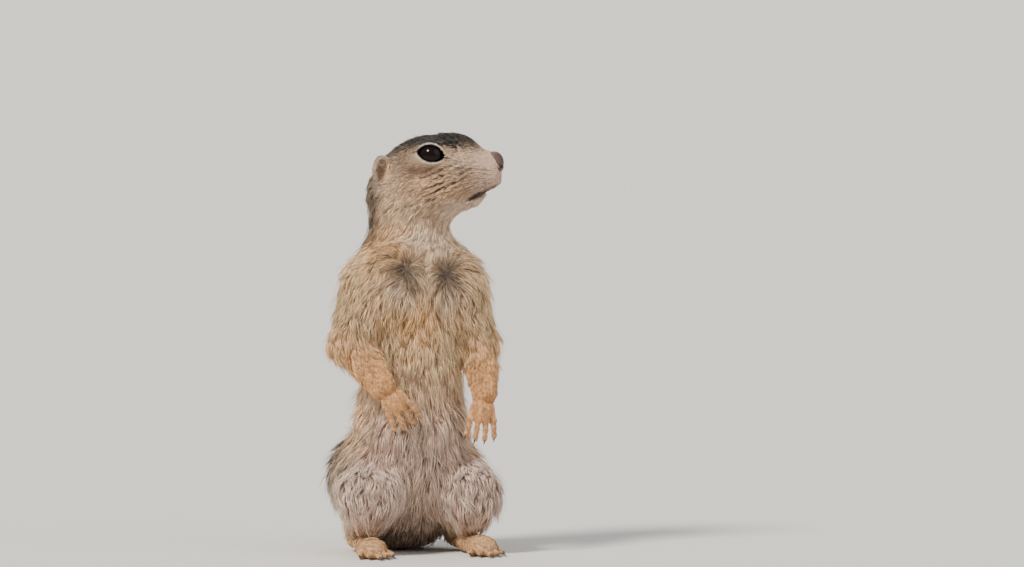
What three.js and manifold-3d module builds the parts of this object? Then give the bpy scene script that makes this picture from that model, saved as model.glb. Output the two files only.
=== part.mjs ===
// A young ground squirrel sitting up on its haunches, alert, with its head turned to its left.
// Millimetres, +Z up. It faces -Y, its own left side is +X, and it rests on Z = 0.
// The origin is the middle of the flat under its rump.
import * as THREE from 'three';
import { mergeVertices } from 'three/addons/utils/BufferGeometryUtils.js';
import Module from 'manifold-3d';

const wasm = await Module();
wasm.setup();

// Driving sizes
const GAP = 0.3; // between nodes that touch
const SLIVER = 0.1; // finer than this, an edge left by a cut is closed up
const SEAT = [0, 14]; // the middle of the rump's flat, in the frame that the forms are laid out in
const HEAD_TURN = -25; // degrees about Z: the way the nose points, from +X
const HEAD_AT = [6.9, -4.4, 144]; // the middle of the head, level with the eyes
const NECK_TOP = [-2.2, -0.2, 126];
const EYE_RADIUS = 4.8;
const EYE_AT = { x: 0.2, y: 9.3, z: -0.2 }; // in the head's own frame
const EAR_AT = { x: -17.4, y: 10.9, z: -5.8 };
const NOSE_AT = [21.4, 0, -2.9];
const NOSE_RADII = [3.6, 3.4, 4.1];
const FINGERS = 4;
const TOES = 5;
const CLAW_LENGTH = 3.6;
const TAIL_LOCKS = 18;
const TRUNK_CELL = 4.4; // how fine each surface is
const LIMB_CELL = 4;
const HEAD_CELL = 2.7;

// Colours, as hexadecimal
const BUFF = 0xc9a37c;
const GRIZZLED = 0x9c8468;
const ORANGE = 0xd09a68;
const PALE = 0xd8c3a8;
const CROWN = 0x6f5f50;
const NOSE = 0x8a5f54;
const EYE = 0x120a08;
const CLAW = 0x3a2c24;

const { clamp, degToRad, lerp } = THREE.MathUtils;
const vector = (p) => new THREE.Vector3(...p);
const mirrored = (make) => [-1, 1].map(make);

// Solids and meshes

// A closed three.js geometry as a solid that can be joined and cut.
function solid(geometry) {
  const bare = new THREE.BufferGeometry();
  bare.setAttribute('position', geometry.getAttribute('position'));
  bare.setIndex(geometry.getIndex());
  const merged = mergeVertices(bare, 1e-4);
  return new wasm.Manifold(new wasm.Mesh({
    numProp: 3,
    vertProperties: merged.getAttribute('position').array,
    triVerts: new Uint32Array(merged.getIndex().array),
  }));
}

// The largest closed surface of a solid, without the slivers and scraps that cuts leave.
function largest(shape) {
  return shape.simplify(SLIVER).decompose().sort((a, b) => b.volume() - a.volume())[0];
}

function mesh(name, shape, colour, roughness = 0.9) {
  const { vertProperties, triVerts } = largest(shape).getMesh();
  const geometry = new THREE.BufferGeometry();
  geometry.setAttribute('position', new THREE.BufferAttribute(vertProperties, 3));
  geometry.setIndex(new THREE.BufferAttribute(triVerts, 1));
  geometry.computeVertexNormals();
  const material = new THREE.MeshStandardMaterial({ color: colour, roughness, metalness: 0 });
  const made = new THREE.Mesh(geometry, material);
  made.name = name;
  return made;
}

// An ellipsoid, turned about its own centre by angles in degrees.
function egg(centre, radii, { around = 14, along = 10, turn = [0, 0, 0] } = {}) {
  const geometry = new THREE.SphereGeometry(1, around, along);
  geometry.scale(...radii);
  geometry.applyQuaternion(new THREE.Quaternion().setFromEuler(new THREE.Euler(...turn.map(degToRad))));
  geometry.translate(...centre);
  return solid(geometry);
}

// A sphere drawn out along a curve through points, with a radius at each point. Its section is
// flat times as thick as it is wide, and lies along the side vector.
function sweep(points, radii, { around = 6, along = 6, flat = 1, side = [1, 0, 0], blunt = 4 } = {}) {
  const curve = new THREE.CatmullRomCurve3(points.map(vector), false, 'centripetal');
  const geometry = new THREE.SphereGeometry(1, around, along);
  const position = geometry.getAttribute('position');
  for (let i = 0; i < position.count; i += 1) {
    const unit = new THREE.Vector3().fromBufferAttribute(position, i);
    const t = Math.acos(clamp(unit.y, -1, 1)) / Math.PI;
    const ring = Math.hypot(unit.x, unit.z);
    const place = t * (radii.length - 1);
    const k = Math.min(Math.floor(place), radii.length - 2);
    const profile = (1 - Math.abs(2 * t - 1) ** blunt) ** (1 / blunt);
    const radius = ring < 1e-6 ? 0 : lerp(radii[k], radii[k + 1], place - k) * profile / ring;
    const tangent = curve.getTangent(t);
    const wide = vector(side).addScaledVector(tangent, -tangent.dot(vector(side))).normalize();
    const thick = new THREE.Vector3().crossVectors(tangent, wide);
    const at = curve.getPoint(t)
      .addScaledVector(wide, unit.x * radius)
      .addScaledVector(thick, unit.z * radius * flat);
    position.setXYZ(i, at.x, at.y, at.z);
  }
  return solid(geometry);
}

// Forms: signed distances, under zero inside

function ball([x, y, z], [rx, ry, rz]) {
  return (px, py, pz) => {
    const a = (px - x) / rx;
    const b = (py - y) / ry;
    const c = (pz - z) / rz;
    const near = Math.hypot(a, b, c);
    const steep = Math.hypot(a / rx, b / ry, c / rz);
    return steep < 1e-9 ? -Math.min(rx, ry, rz) : near * (near - 1) / steep;
  };
}

function bone([ax, ay, az], [bx, by, bz], ra, rb) {
  const [dx, dy, dz] = [bx - ax, by - ay, bz - az];
  const length2 = dx * dx + dy * dy + dz * dz;
  return (x, y, z) => {
    const t = clamp(((x - ax) * dx + (y - ay) * dy + (z - az) * dz) / length2, 0, 1);
    return Math.hypot(x - ax - t * dx, y - ay - t * dy, z - az - t * dz) - lerp(ra, rb, t);
  };
}

// Joins forms with a fillet about as wide as soft.
function blend(soft, ...forms) {
  return (x, y, z) => forms.map((form) => form(x, y, z)).reduce((a, b) => {
    const h = Math.max(soft - Math.abs(a - b), 0) / soft;
    return Math.min(a, b) - h * h * soft / 4;
  });
}

// The surface where a form is zero, inside a box, as quads between the cells that it crosses,
// then swelled by a distance with the same faces. The box holds the whole form.
function skin(form, [low, high], cell, swell = 0) {
  const count = low.map((v, i) => Math.ceil((high[i] - v) / cell) + 1);
  const [nx, ny, nz] = count;
  const step = [1, nx, nx * ny];
  const values = new Float32Array(nx * ny * nz);
  for (let k = 0, n = 0; k < nz; k += 1) {
    for (let j = 0; j < ny; j += 1) {
      for (let i = 0; i < nx; i += 1, n += 1) {
        values[n] = form(low[0] + i * cell, low[1] + j * cell, low[2] + k * cell);
      }
    }
  }
  const inside = (n) => values[n] < 0;
  const points = [];
  const pointOf = new Map();
  for (let k = 0; k < nz - 1; k += 1) {
    for (let j = 0; j < ny - 1; j += 1) {
      for (let i = 0; i < nx - 1; i += 1) {
        const n = i + j * nx + k * step[2];
        const sum = [0, 0, 0];
        let crossings = 0;
        for (let axis = 0; axis < 3; axis += 1) {
          const [u, v] = [(axis + 1) % 3, (axis + 2) % 3];
          for (const [a, b] of [[0, 0], [0, 1], [1, 0], [1, 1]]) {
            const start = n + a * step[u] + b * step[v];
            const end = start + step[axis];
            if (inside(start) === inside(end)) continue;
            sum[axis] += values[start] / (values[start] - values[end]);
            sum[u] += a;
            sum[v] += b;
            crossings += 1;
          }
        }
        if (!crossings) continue;
        pointOf.set(n, points.length / 3);
        points.push(...[i, j, k].map((c, axis) => low[axis] + (c + sum[axis] / crossings) * cell));
      }
    }
  }
  // Each point slides down the form's slope onto its surface.
  const reach = cell / 20;
  for (let p = 0; p < points.length; p += 3) {
    const [x, y, z] = points.slice(p, p + 3);
    const value = form(x, y, z);
    const slope = [form(x + reach, y, z), form(x, y + reach, z), form(x, y, z + reach)]
      .map((v) => (v - value) / reach);
    const steep = Math.max(slope.reduce((s, v) => s + v * v, 0), 0.25);
    slope.forEach((v, axis) => {
      points[p + axis] += swell * v / Math.sqrt(steep) - clamp(value * v / steep, -cell / 3, cell / 3);
    });
  }
  const faces = [];
  for (let n = 0; n < values.length; n += 1) {
    const cellOf = [n % nx, Math.floor(n / nx) % ny, Math.floor(n / step[2])];
    for (let axis = 0; axis < 3; axis += 1) {
      if (cellOf[axis] >= count[axis] - 1 || inside(n) === inside(n + step[axis])) continue;
      const [u, v] = [step[(axis + 1) % 3], step[(axis + 2) % 3]];
      const quad = [n, n - u, n - u - v, n - v].map((m) => pointOf.get(m));
      if (!inside(n)) quad.reverse();
      faces.push(quad[0], quad[1], quad[2], quad[0], quad[2], quad[3]);
    }
  }
  const geometry = new THREE.BufferGeometry();
  geometry.setAttribute('position', new THREE.Float32BufferAttribute(points, 3));
  geometry.setIndex(faces);
  return solid(geometry);
}

// The box round some points, wider by a margin.
function boxRound(points, margin) {
  return [Math.min, Math.max].map((pick, i) =>
    [0, 1, 2].map((axis) => pick(...points.map((p) => p[axis])) + (i ? margin : -margin)));
}

// Trims a solid to the side of a plane that its normal points to.
function keepAbove(shape, point, normal, clear = 0) {
  const n = vector(normal).normalize();
  return shape.trimByPlane(n.toArray(), n.dot(vector(point)) + clear);
}

const opposite = (p) => p.map((v) => -v);
const aboveFloor = (shape) => keepAbove(shape, [0, 0, 0], [0, 0, 1]);

// The head's own frame: +X towards the nose, +Y to its left
const headFrame = new THREE.Group();
headFrame.position.set(...HEAD_AT);
headFrame.rotation.z = degToRad(HEAD_TURN);
headFrame.updateMatrixWorld(true);
const fromHead = (p) => headFrame.localToWorld(vector(p)).toArray();
const [turnCos, turnSin] = [Math.cos(degToRad(HEAD_TURN)), Math.sin(degToRad(HEAD_TURN))];

const headForm = blend(
  5,
  ball([-0.6, 0, -6], [18.5, 12.7, 13.3]), // brain case
  ball([7.5, 0, -2], [9.5, 8.2, 9.4]), // forehead
  ball([-10.6, 0, -13], [13, 12.6, 12.6]), // back of the head
  bone([10, 0, -6.6], [20, 0, -3.2], 8, 4.4), // muzzle
  ...mirrored((s) => ball([0.2, 7.3 * s, -1.1], [8.8, 4.8, 6.1])), // brow and rim of the eye socket
  ...mirrored((s) => ball([-0.5, 6.2 * s, -13], [13.5, 8.4, 9.3])), // cheeks
  ...mirrored((s) => ball([18, 3 * s, -8.7], [5.5, 4.4, 5])), // whisker pads
  bone([3, 0, -16.6], [13.6, 0, -16], 6.8, 3.6), // chin
);

// The same form at a point of the body's frame.
const headInBody = (x, y, z) => {
  const [dx, dy] = [x - HEAD_AT[0], y - HEAD_AT[1]];
  return headForm(turnCos * dx + turnSin * dy, turnCos * dy - turnSin * dx, z - HEAD_AT[2]);
};

// Trunk and neck, from the rump up
const HIPS = ball([...SEAT, 24], [22.5, 20.5, 25]);
const trunkForm = blend(
  9,
  HIPS,
  ball([0, 4.5, 43], [21.5, 20.5, 28]), // belly
  ball([0, 1, 74], [19.6, 17.5, 25]), // ribs
  ball([0, -1, 94], [18, 15.5, 17]), // chest
  bone([-0.8, 0.5, 102], NECK_TOP, 17.4, 14.4), // neck
);
const bodyForm = blend(7, trunkForm, headInBody);
const shoulderForms = [ball([-13.2, -1.5, 96], [12, 12.5, 17]), ball([11.8, -1.5, 96], [11.4, 12.5, 17])];
const wholeForm = blend(7, bodyForm, ...shoulderForms);
const WHOLE_BOX = [[-34, -34, -8], [42, 44, 160]];

// Where the trunk is parted
const THROAT = { point: [-8, 0, -21], normal: [0.25, 0, 0.97] }; // in the head's frame
const NECK_BASE = { point: [0, 0, 107], normal: [0.04, -0.2, 1] };
const WAIST = { point: [0, 0, 68], normal: [0, -0.1, 1] };
const LOINS = { point: [0, 12, 33], normal: [0, -0.65, 1] };

function trunkNodes() {
  const whole = aboveFloor(skin(wholeForm, WHOLE_BOX, TRUNK_CELL));
  const throat = {
    point: fromHead(THROAT.point),
    normal: vector(THROAT.normal).applyQuaternion(headFrame.quaternion).toArray(),
  };
  const between = (low, high) => {
    const cut = low ? keepAbove(whole, low.point, low.normal, GAP / 2) : whole;
    return keepAbove(cut, high.point, opposite(high.normal), GAP / 2);
  };
  return {
    neck: between(NECK_BASE, throat),
    chest: between(WAIST, NECK_BASE),
    belly: between(LOINS, WAIST),
    hips: between(null, LOINS),
  };
}

// Head, with its jaw, lids, nostrils, ears and eyes, in its own frame

// A ring along the rim of the almond-shaped eye opening, resting on the eyeball.
function lids(side) {
  const [long, high, thick, proud, steps] = [5, 3.5, 0.7, 0.5, 18];
  const out = vector([0.12, side, 0.27]).normalize();
  const slant = vector([0.985, 0, -0.17]);
  const along = slant.addScaledVector(out, -out.dot(slant)).normalize();
  const up = new THREE.Vector3().crossVectors(out, along).multiplyScalar(-side);
  const centre = vector([EYE_AT.x, side * EYE_AT.y, EYE_AT.z]);
  const rim = Array.from({ length: steps }, (_, i) => {
    const angle = 2 * Math.PI * i / steps;
    const a = long * Math.cos(angle);
    const b = high * Math.sign(Math.sin(angle)) * Math.abs(Math.sin(angle)) ** 1.25;
    const depth = Math.sqrt((EYE_RADIUS + proud) ** 2 - a * a - b * b);
    return centre.clone().addScaledVector(along, a).addScaledVector(up, b).addScaledVector(out, depth);
  });
  const tube = new THREE.ExtrudeGeometry(new THREE.Shape().absellipse(0, 0, thick, thick, 0, 2 * Math.PI), {
    extrudePath: new THREE.CatmullRomCurve3(rim, true),
    steps,
    curveSegments: 3,
    bevelEnabled: false,
  });
  return solid(tube);
}

// A thin bent slab through the head along the line of the mouth, wider at the lips.
function mouthCut() {
  const width = 60;
  const outline = new THREE.Shape();
  outline.moveTo(28, -10.4);
  outline.lineTo(21.5, -12);
  outline.lineTo(12.8, -17.2);
  outline.lineTo(2, -21);
  outline.lineTo(-9, -24.2);
  outline.lineTo(-9, -24.6);
  outline.lineTo(2, -21.4);
  outline.lineTo(12.9, -17.7);
  outline.lineTo(21.2, -13.3);
  outline.lineTo(28, -12);
  const slab = new THREE.ExtrudeGeometry(outline, { depth: width, bevelEnabled: false });
  slab.rotateX(Math.PI / 2);
  slab.translate(0, width / 2, 0);
  return solid(slab);
}

// A cupped ear: a thick dish that opens forwards and outwards, its front edge sunk in the head.
function ear(side) {
  const turn = [side * -8, 0, side * -25];
  const out = vector([0, side, 0]).applyEuler(new THREE.Euler(...turn.map(degToRad)));
  const at = vector([EAR_AT.x, side * EAR_AT.y, EAR_AT.z]);
  const dish = egg(at.toArray(), [3.9, 2.7, 5.9], { turn });
  const hollow = egg(at.addScaledVector(out, 2.4).toArray(), [2.6, 2.8, 4.4], { around: 12, along: 8, turn });
  return dish.subtract(hollow);
}

// A nostril, which opens forwards and sideways beside the middle of the nose.
function nostril(side) {
  return egg([23.7, side * 2.1, -4], [1.9, 0.8, 1.2], { around: 6, along: 5, turn: [0, 0, side * 38] });
}

const HEAD_BOX = [[-30, -24, -44], [32, 24, 12]];

function headNodes() {
  const trunkInHead = (x, y, z) => trunkForm(
    HEAD_AT[0] + turnCos * x - turnSin * y,
    HEAD_AT[1] + turnSin * x + turnCos * y,
    HEAD_AT[2] + z,
  );
  const aboveThroat = (x, y, z) => Math.max(trunkInHead(x, y, z), -30 - z);
  const faceForm = blend(7, headForm, aboveThroat);
  let whole = keepAbove(skin(faceForm, HEAD_BOX, HEAD_CELL), THROAT.point, THROAT.normal, GAP / 2);
  const parts = {};
  mirrored((side) => {
    const name = side > 0 ? 'left' : 'right';
    const eyeAt = [EYE_AT.x, side * EYE_AT.y, EYE_AT.z];
    const socket = egg(eyeAt, Array(3).fill(EYE_RADIUS + GAP));
    whole = whole.add(lids(side)).subtract(socket).subtract(nostril(side));
    parts[`eye_${name}`] = egg(eyeAt, Array(3).fill(EYE_RADIUS));
    parts[`ear_${name}`] = ear(side);
  });
  whole = whole.subtract(egg(NOSE_AT, NOSE_RADII.map((r) => r + GAP), { around: 12, along: 8 }));
  parts.nose = mirrored(nostril)
    .reduce((rest, hole) => rest.subtract(hole), egg(NOSE_AT, NOSE_RADII, { around: 12, along: 8 }));
  const [upper, lower] = whole.subtract(mouthCut()).decompose().sort((a, b) => b.volume() - a.volume());
  parts.head = upper;
  parts.lower_jaw = lower;
  const face = skin(faceForm, HEAD_BOX, HEAD_CELL, GAP);
  for (const name of ['ear_left', 'ear_right']) parts[name] = parts[name].subtract(face);
  return parts;
}

// Limbs

const ARMS = {
  right: {
    shoulder: [-17.2, -3, 96],
    elbow: [-23.2, -2.5, 76],
    wrist: [-17, -18, 62],
    knuckles: [-12.6, -20.8, 56],
    reach: [0.5, -0.15, -0.85],
    radii: [10.4, 10, 6],
  },
  left: {
    shoulder: [16, -3, 96],
    elbow: [22.4, -4, 74.5],
    wrist: [21.4, -18.6, 59],
    knuckles: [19.8, -21.2, 52],
    reach: [-0.1, -0.2, -0.96],
    radii: [10, 9.2, 5.8],
  },
};

// A finger or toe and its claw, from the knuckle outwards, bending by droop at each joint.
function digit(root, heading, side, length, radius, droop) {
  const way = vector(heading).normalize();
  const axis = vector(side).normalize();
  const points = [vector(root).addScaledVector(way, -radius * 2)];
  for (let i = 0; i < 3; i += 1) {
    const last = points[points.length - 1].clone();
    points.push(last.addScaledVector(way, length / 3 + (i ? 0 : radius * 2)));
    way.applyAxisAngle(axis, degToRad(droop));
  }
  const tip = points[3].clone();
  const radii = [radius, radius * 1.06, radius * 0.9, radius * 0.95];
  const flesh = sweep(points.map((p) => p.toArray()), radii, { side });
  points[3].addScaledVector(way, GAP);
  const room = sweep(points.map((p) => p.toArray()), radii.map((r) => r + GAP), { side });
  const claw = [-0.15, 0.35, 0.85].map((part) => {
    const at = tip.clone().addScaledVector(way, part * CLAW_LENGTH);
    way.applyAxisAngle(axis, degToRad(droop * 0.9));
    return at.toArray();
  });
  const girth = [radius * 0.62, radius * 0.55, radius * 0.16];
  return { flesh, claw: sweep(claw, girth, { around: 4, along: 4, side, blunt: 6 }).subtract(room) };
}

function addArm(nodes, name, cutter) {
  const { shoulder, elbow, wrist, knuckles, reach, radii } = ARMS[name];
  const upper = bone(shoulder, elbow, radii[0], radii[1]);
  const fore = bone(elbow, wrist, radii[1], radii[2]);
  const arm = blend(3, upper, fore);
  const box = boxRound([shoulder, elbow, wrist], 16);
  const joined = blend(5, arm, shoulderForms[name === 'left' ? 1 : 0]);
  const whole = skin(joined, box, LIMB_CELL).subtract(cutter);
  const foreWay = vector(wrist).sub(vector(elbow)).normalize();
  const upperWay = vector(elbow).sub(vector(shoulder)).normalize();
  const bend = foreWay.clone().add(upperWay).toArray();
  const lower = keepAbove(whole, elbow, bend, GAP / 2);
  nodes[`upper_arm_${name}`] = keepAbove(whole, elbow, opposite(bend), GAP / 2);
  nodes[`forearm_${name}`] = keepAbove(lower, wrist, opposite(foreWay.toArray()), GAP / 2);
  // Hand: a flat palm and the fingers that hang from it
  const across = new THREE.Vector3().crossVectors(vector(reach), vector([0, -1, 0])).normalize();
  const heel = vector(wrist).addScaledVector(foreWay, -2).toArray();
  const end = vector(knuckles).addScaledVector(vector(reach), 1.2).toArray();
  let hand = sweep([heel, knuckles, end], [4.2, 5.2, 4.2], { around: 10, along: 9, flat: 0.5, side: across.toArray() });
  const claws = [];
  for (let i = 0; i < FINGERS; i += 1) {
    const place = i - (FINGERS - 1) / 2;
    const heading = vector(reach).addScaledVector(across, place * 0.11).toArray();
    const root = vector(knuckles).addScaledVector(across, place * 2.5).toArray();
    const made = digit(root, heading, across.toArray(), 10.2 - Math.abs(place) * 1.2, 1.25, -7);
    hand = hand.add(made.flesh);
    claws.push(made.claw);
  }
  nodes[`hand_${name}`] = keepAbove(hand, wrist, foreWay.toArray(), GAP / 2);
  claws.forEach((claw, i) => {
    nodes[`claw_hand_${name}_${i + 1}`] = claw;
  });
}

const LEG = {
  hip: [12.5, 16, 26],
  knee: [18.6, -8.5, 21.5],
  kneeLow: [19, -7.5, 15.5],
  ankle: [18.5, 9, 7],
  heel: [18.5, 11, 4],
  arch: [19.3, -6, 3.4],
  ball: [20.5, -19, 3],
  toes: [21, -23, 2.4],
};

function addLeg(nodes, name, cutter) {
  const sign = name === 'left' ? 1 : -1;
  const at = Object.fromEntries(Object.entries(LEG).map(([key, [x, y, z]]) => [key, [sign * x, y, z]]));
  const thighForm = blend(6, bone(at.hip, at.knee, 16.4, 13.4), HIPS);
  const thighBox = boxRound([at.hip, at.knee], 28);
  const shankForm = bone(at.kneeLow, at.ankle, 9.2, 5.4);
  const shankBox = boxRound([at.kneeLow, at.ankle], 12);
  const thighSpace = skin(thighForm, thighBox, LIMB_CELL, GAP);
  const shankSpace = skin(shankForm, shankBox, LIMB_CELL, GAP);
  nodes[`thigh_${name}`] = aboveFloor(skin(thighForm, thighBox, LIMB_CELL)).subtract(cutter);
  nodes[`shank_${name}`] = aboveFloor(skin(shankForm, shankBox, LIMB_CELL)).subtract(cutter).subtract(thighSpace);
  // Foot: a long flat sole and its toes
  const sole = [at.heel, at.arch, at.ball, at.toes];
  let foot = sweep(sole, [4.2, 4.3, 5.2, 4.6], { around: 10, along: 9, flat: 0.8 });
  const claws = [];
  for (let i = 0; i < TOES; i += 1) {
    const place = i - (TOES - 1) / 2;
    const root = [at.ball[0] + place * 2.2, at.ball[1] - 2.4 + Math.abs(place) * 1.7, 2];
    const made = digit(root, [place * 0.12, -1, -0.02], [1, 0, 0], 8.6 - Math.abs(place) * 1.1, 1.3, 4);
    foot = foot.add(made.flesh);
    claws.push(made.claw);
  }
  nodes[`foot_${name}`] = aboveFloor(foot).subtract(shankSpace).subtract(cutter).subtract(thighSpace);
  claws.forEach((claw, i) => {
    nodes[`claw_foot_${name}_${i + 1}`] = aboveFloor(claw);
  });
}

// Tail: a thin core that lies on the floor, with flat tapered locks that overlap along its sides and top
const TAIL = [[0, 26, 9], [1, 40, 5.2], [4, 58, 3.6], [8, 74, 3], [10, 84, 2.4]];
const TAIL_RADII = [7.5, 4.6, 3.8, 3.2, 1.8];
const LOCK_ROWS = [-75, 0, 75, -38, 38]; // degrees round the tail, from straight up

function tailNodes(cutter) {
  let tail = sweep(TAIL, TAIL_RADII, { around: 10, along: 14 });
  const curve = new THREE.CatmullRomCurve3(TAIL.map(vector), false, 'centripetal');
  for (let i = 0; i < TAIL_LOCKS; i += 1) {
    const t = lerp(0.3, 0.98, i / (TAIL_LOCKS - 1));
    const angle = degToRad(LOCK_ROWS[i % LOCK_ROWS.length] + 8 * Math.sin(i * 2.4));
    const at = curve.getPoint(t);
    const back = curve.getTangent(t);
    const out = vector([Math.sin(angle), 0, Math.cos(angle)]);
    const span = lerp(12, 15, t) * (0.94 + 0.06 * Math.sin(i * 1.7));
    const path = [[0, 1.2], [0.5, 3.9], [1, 4.9]].map(([part, lift]) =>
      at.clone().addScaledVector(back, part * span).addScaledVector(out, lift).toArray());
    const side = new THREE.Vector3().crossVectors(back, out).toArray();
    tail = tail.add(sweep(path, [2, 2.9, 0.7], { around: 4, along: 4, flat: 0.34, side, blunt: 2.5 }));
  }
  const whole = aboveFloor(tail).subtract(cutter);
  const middle = { point: TAIL[2], normal: [-0.2, -1, 0] };
  return {
    tail_base: keepAbove(whole, middle.point, middle.normal, GAP / 2),
    tail_tip: keepAbove(whole, middle.point, opposite(middle.normal), GAP / 2),
  };
}

// The whole animal

const COLOURS = {
  neck: BUFF,
  chest: BUFF,
  belly: PALE,
  hips: GRIZZLED,
  head: CROWN,
  lower: PALE,
  nose: NOSE,
  ear: BUFF,
  eye: EYE,
  upper: GRIZZLED,
  forearm: ORANGE,
  hand: ORANGE,
  thigh: GRIZZLED,
  shank: BUFF,
  foot: PALE,
  tail: GRIZZLED,
  claw: CLAW,
};
const colourOf = (name) => COLOURS[name.split('_')[0]];

const trunkSpace = skin(wholeForm, WHOLE_BOX, TRUNK_CELL, GAP);
const nodes = trunkNodes();
for (const name of ['left', 'right']) {
  addArm(nodes, name, trunkSpace);
  addLeg(nodes, name, trunkSpace);
}
Object.assign(nodes, tailNodes(trunkSpace));

const animal = new THREE.Group();
for (const [name, shape] of Object.entries(nodes)) {
  animal.add(mesh(name, shape, colourOf(name)));
}
for (const [name, shape] of Object.entries(headNodes())) {
  headFrame.add(mesh(name, shape, colourOf(name), name.startsWith('eye') ? 0.15 : 0.85));
}
animal.add(headFrame);
animal.position.set(-SEAT[0], -SEAT[1], 0);

export default animal;
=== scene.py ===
"""A young ground squirrel sitting up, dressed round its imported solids.

One skin is polygonised from blended forms, in the solids' own millimetres, and tufts of fur lie over it.
"""

import math

import bmesh
import bpy
import numpy as np
from mathutils.kdtree import KDTree
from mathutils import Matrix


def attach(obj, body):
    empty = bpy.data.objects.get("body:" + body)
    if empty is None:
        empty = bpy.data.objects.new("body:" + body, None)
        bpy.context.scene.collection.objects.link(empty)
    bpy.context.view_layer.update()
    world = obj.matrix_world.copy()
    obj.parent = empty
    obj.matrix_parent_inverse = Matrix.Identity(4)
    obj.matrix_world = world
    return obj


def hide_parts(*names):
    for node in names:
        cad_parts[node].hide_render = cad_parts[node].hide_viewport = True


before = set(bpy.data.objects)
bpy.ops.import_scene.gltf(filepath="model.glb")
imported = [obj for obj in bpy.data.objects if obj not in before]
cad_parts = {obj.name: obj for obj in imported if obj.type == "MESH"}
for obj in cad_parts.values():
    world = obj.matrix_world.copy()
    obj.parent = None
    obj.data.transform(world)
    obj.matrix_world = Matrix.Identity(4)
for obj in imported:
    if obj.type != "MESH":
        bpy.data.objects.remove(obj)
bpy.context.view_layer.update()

MM = 0.001
# The forms' own origin is this far ahead of the middle of the rump's flat
SEAT = np.array([0.0, 14.0, 0.0])
FAR = 40.0  # distance given to points outside a small form's box
draw = np.random.default_rng(20)


# Numbers, vectors and colours


def lerp(a, b, t):
    return a + (b - a) * t


def unit(vectors):
    vectors = np.asarray(vectors, float)
    return vectors / np.linalg.norm(vectors, axis=-1, keepdims=True).clip(1e-9)


def smoothstep(start, end, value):
    t = np.clip((value - start) / (end - start), 0, 1)
    return t * t * (3 - 2 * t)


def hump(value, middle, width):
    return np.exp(-(((value - middle) / width) ** 2))


def linear(red, green, blue):
    """A display colour, 0 to 255, as the linear values that shaders and attributes hold."""
    shown = np.array([red, green, blue], float) / 255
    return np.where(shown <= 0.04045, shown / 12.92, ((shown + 0.055) / 1.055) ** 2.4)


def turned(vectors, axis, angle):
    """Vectors turned about an axis by an angle in radians, one for all or one for each."""
    vectors = np.atleast_2d(np.asarray(vectors, float))
    axis = unit(np.broadcast_to(np.asarray(axis, float), vectors.shape))
    angle = np.broadcast_to(np.asarray(angle, float), (len(vectors),))[:, None]
    along = (vectors * axis).sum(1, keepdims=True) * axis
    return along + (vectors - along) * np.cos(angle) + np.cross(axis, vectors) * np.sin(angle)


def mottle(points, size, seed, waves=7):
    """Smooth uneven values, about -2 to 2, from crossing waves about as long as size."""
    own = np.random.default_rng(seed)
    total = np.zeros(len(points))
    for _ in range(waves):
        way = unit(own.normal(size=3)) * (2 * math.pi / size) * own.uniform(0.6, 1.5)
        total += np.sin(points @ way + own.uniform(0, 2 * math.pi))
    return total / math.sqrt(waves / 2)


# Distances to simple forms, negative inside


def ball(points, centre, radii):
    from_centre = (points - np.asarray(centre, float)) / np.asarray(radii, float)
    near = np.sqrt((from_centre**2).sum(1))
    steep = np.sqrt(((from_centre / np.asarray(radii, float)) ** 2).sum(1)).clip(1e-9)
    return near * (near - 1) / steep


def bone(points, start, end, start_radius, end_radius):
    start = np.asarray(start, float)
    along = np.asarray(end, float) - start
    t = np.clip((points - start) @ along / (along @ along), 0, 1)
    away = points - start - t[:, None] * along
    return np.sqrt((away**2).sum(1)) - lerp(start_radius, end_radius, t)


def blend(soft, first, *others):
    total = first
    for other in others:
        near = np.maximum(soft - np.abs(total - other), 0) / soft
        total = np.minimum(total, other) - near * near * soft / 4
    return total


def cut(soft, form, opening):
    """The form with the opening taken out of it, its edge rounded by soft."""
    return -blend(soft, -form, opening)


def squashed(points, centre, normal, flat):
    """Points pulled away from a plane, so that a form measured with them comes out flatter."""
    normal = unit(normal)
    height = (points - np.asarray(centre, float)) @ normal
    return points + (height * (1 / flat - 1))[:, None] * normal


def inside_box(points, corners, margin):
    corners = np.asarray(corners, float)
    low = corners.min(0) - margin
    high = corners.max(0) + margin
    return ((points > low) & (points < high)).all(1)


def where_near(points, corners, margin, form):
    """The form's distance near its corners, and FAR elsewhere."""
    distance = np.full(len(points), FAR)
    near = inside_box(points, corners, margin)
    if near.any():
        distance[near] = form(points[near])
    return distance


# The head's own frame: +X to the nose, +Y to its left, +Z up

HEAD_AT = np.array([6.9, -4.4, 144.0])
HEAD_TURN = math.radians(-25)
HEAD_AXES = np.array(
    [
        [math.cos(HEAD_TURN), math.sin(HEAD_TURN), 0],
        [-math.sin(HEAD_TURN), math.cos(HEAD_TURN), 0],
        [0, 0, 1],
    ]
)
EYE_RADIUS = 4.8
EYE_AT = np.array([0.2, 9.3, -0.2])
EYE_OUT = [0.12, 1, 0.27]  # the way that the left eye looks
EYE_SLANT = np.array([0.985, 0, -0.17])  # from an eye's rear corner to its front corner
EYE_LONG = 5.1
EYE_HIGH = 3.0
LID_THICK = 0.6
LID_WIDE = 1.4
EAR_AT = np.array([-17.4, 10.9, -5.8])
EAR_AXES = np.array([[0.906, -0.4185, 0.0588], [0.4226, 0.897, -0.126], [0, 0.139, 0.99]])
EAR_RADII = np.array([3.9, 2.7, 5.9])
EAR_HOLLOW = np.array([3.0, 2.9, 4.8])
EAR_HOLLOW_AT = [0.2, 2.5, 0.2]
NOSE_AT = [21.4, 0, -2.9]
NOSE_RADII = [3.5, 3.3, 4.0]
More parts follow.
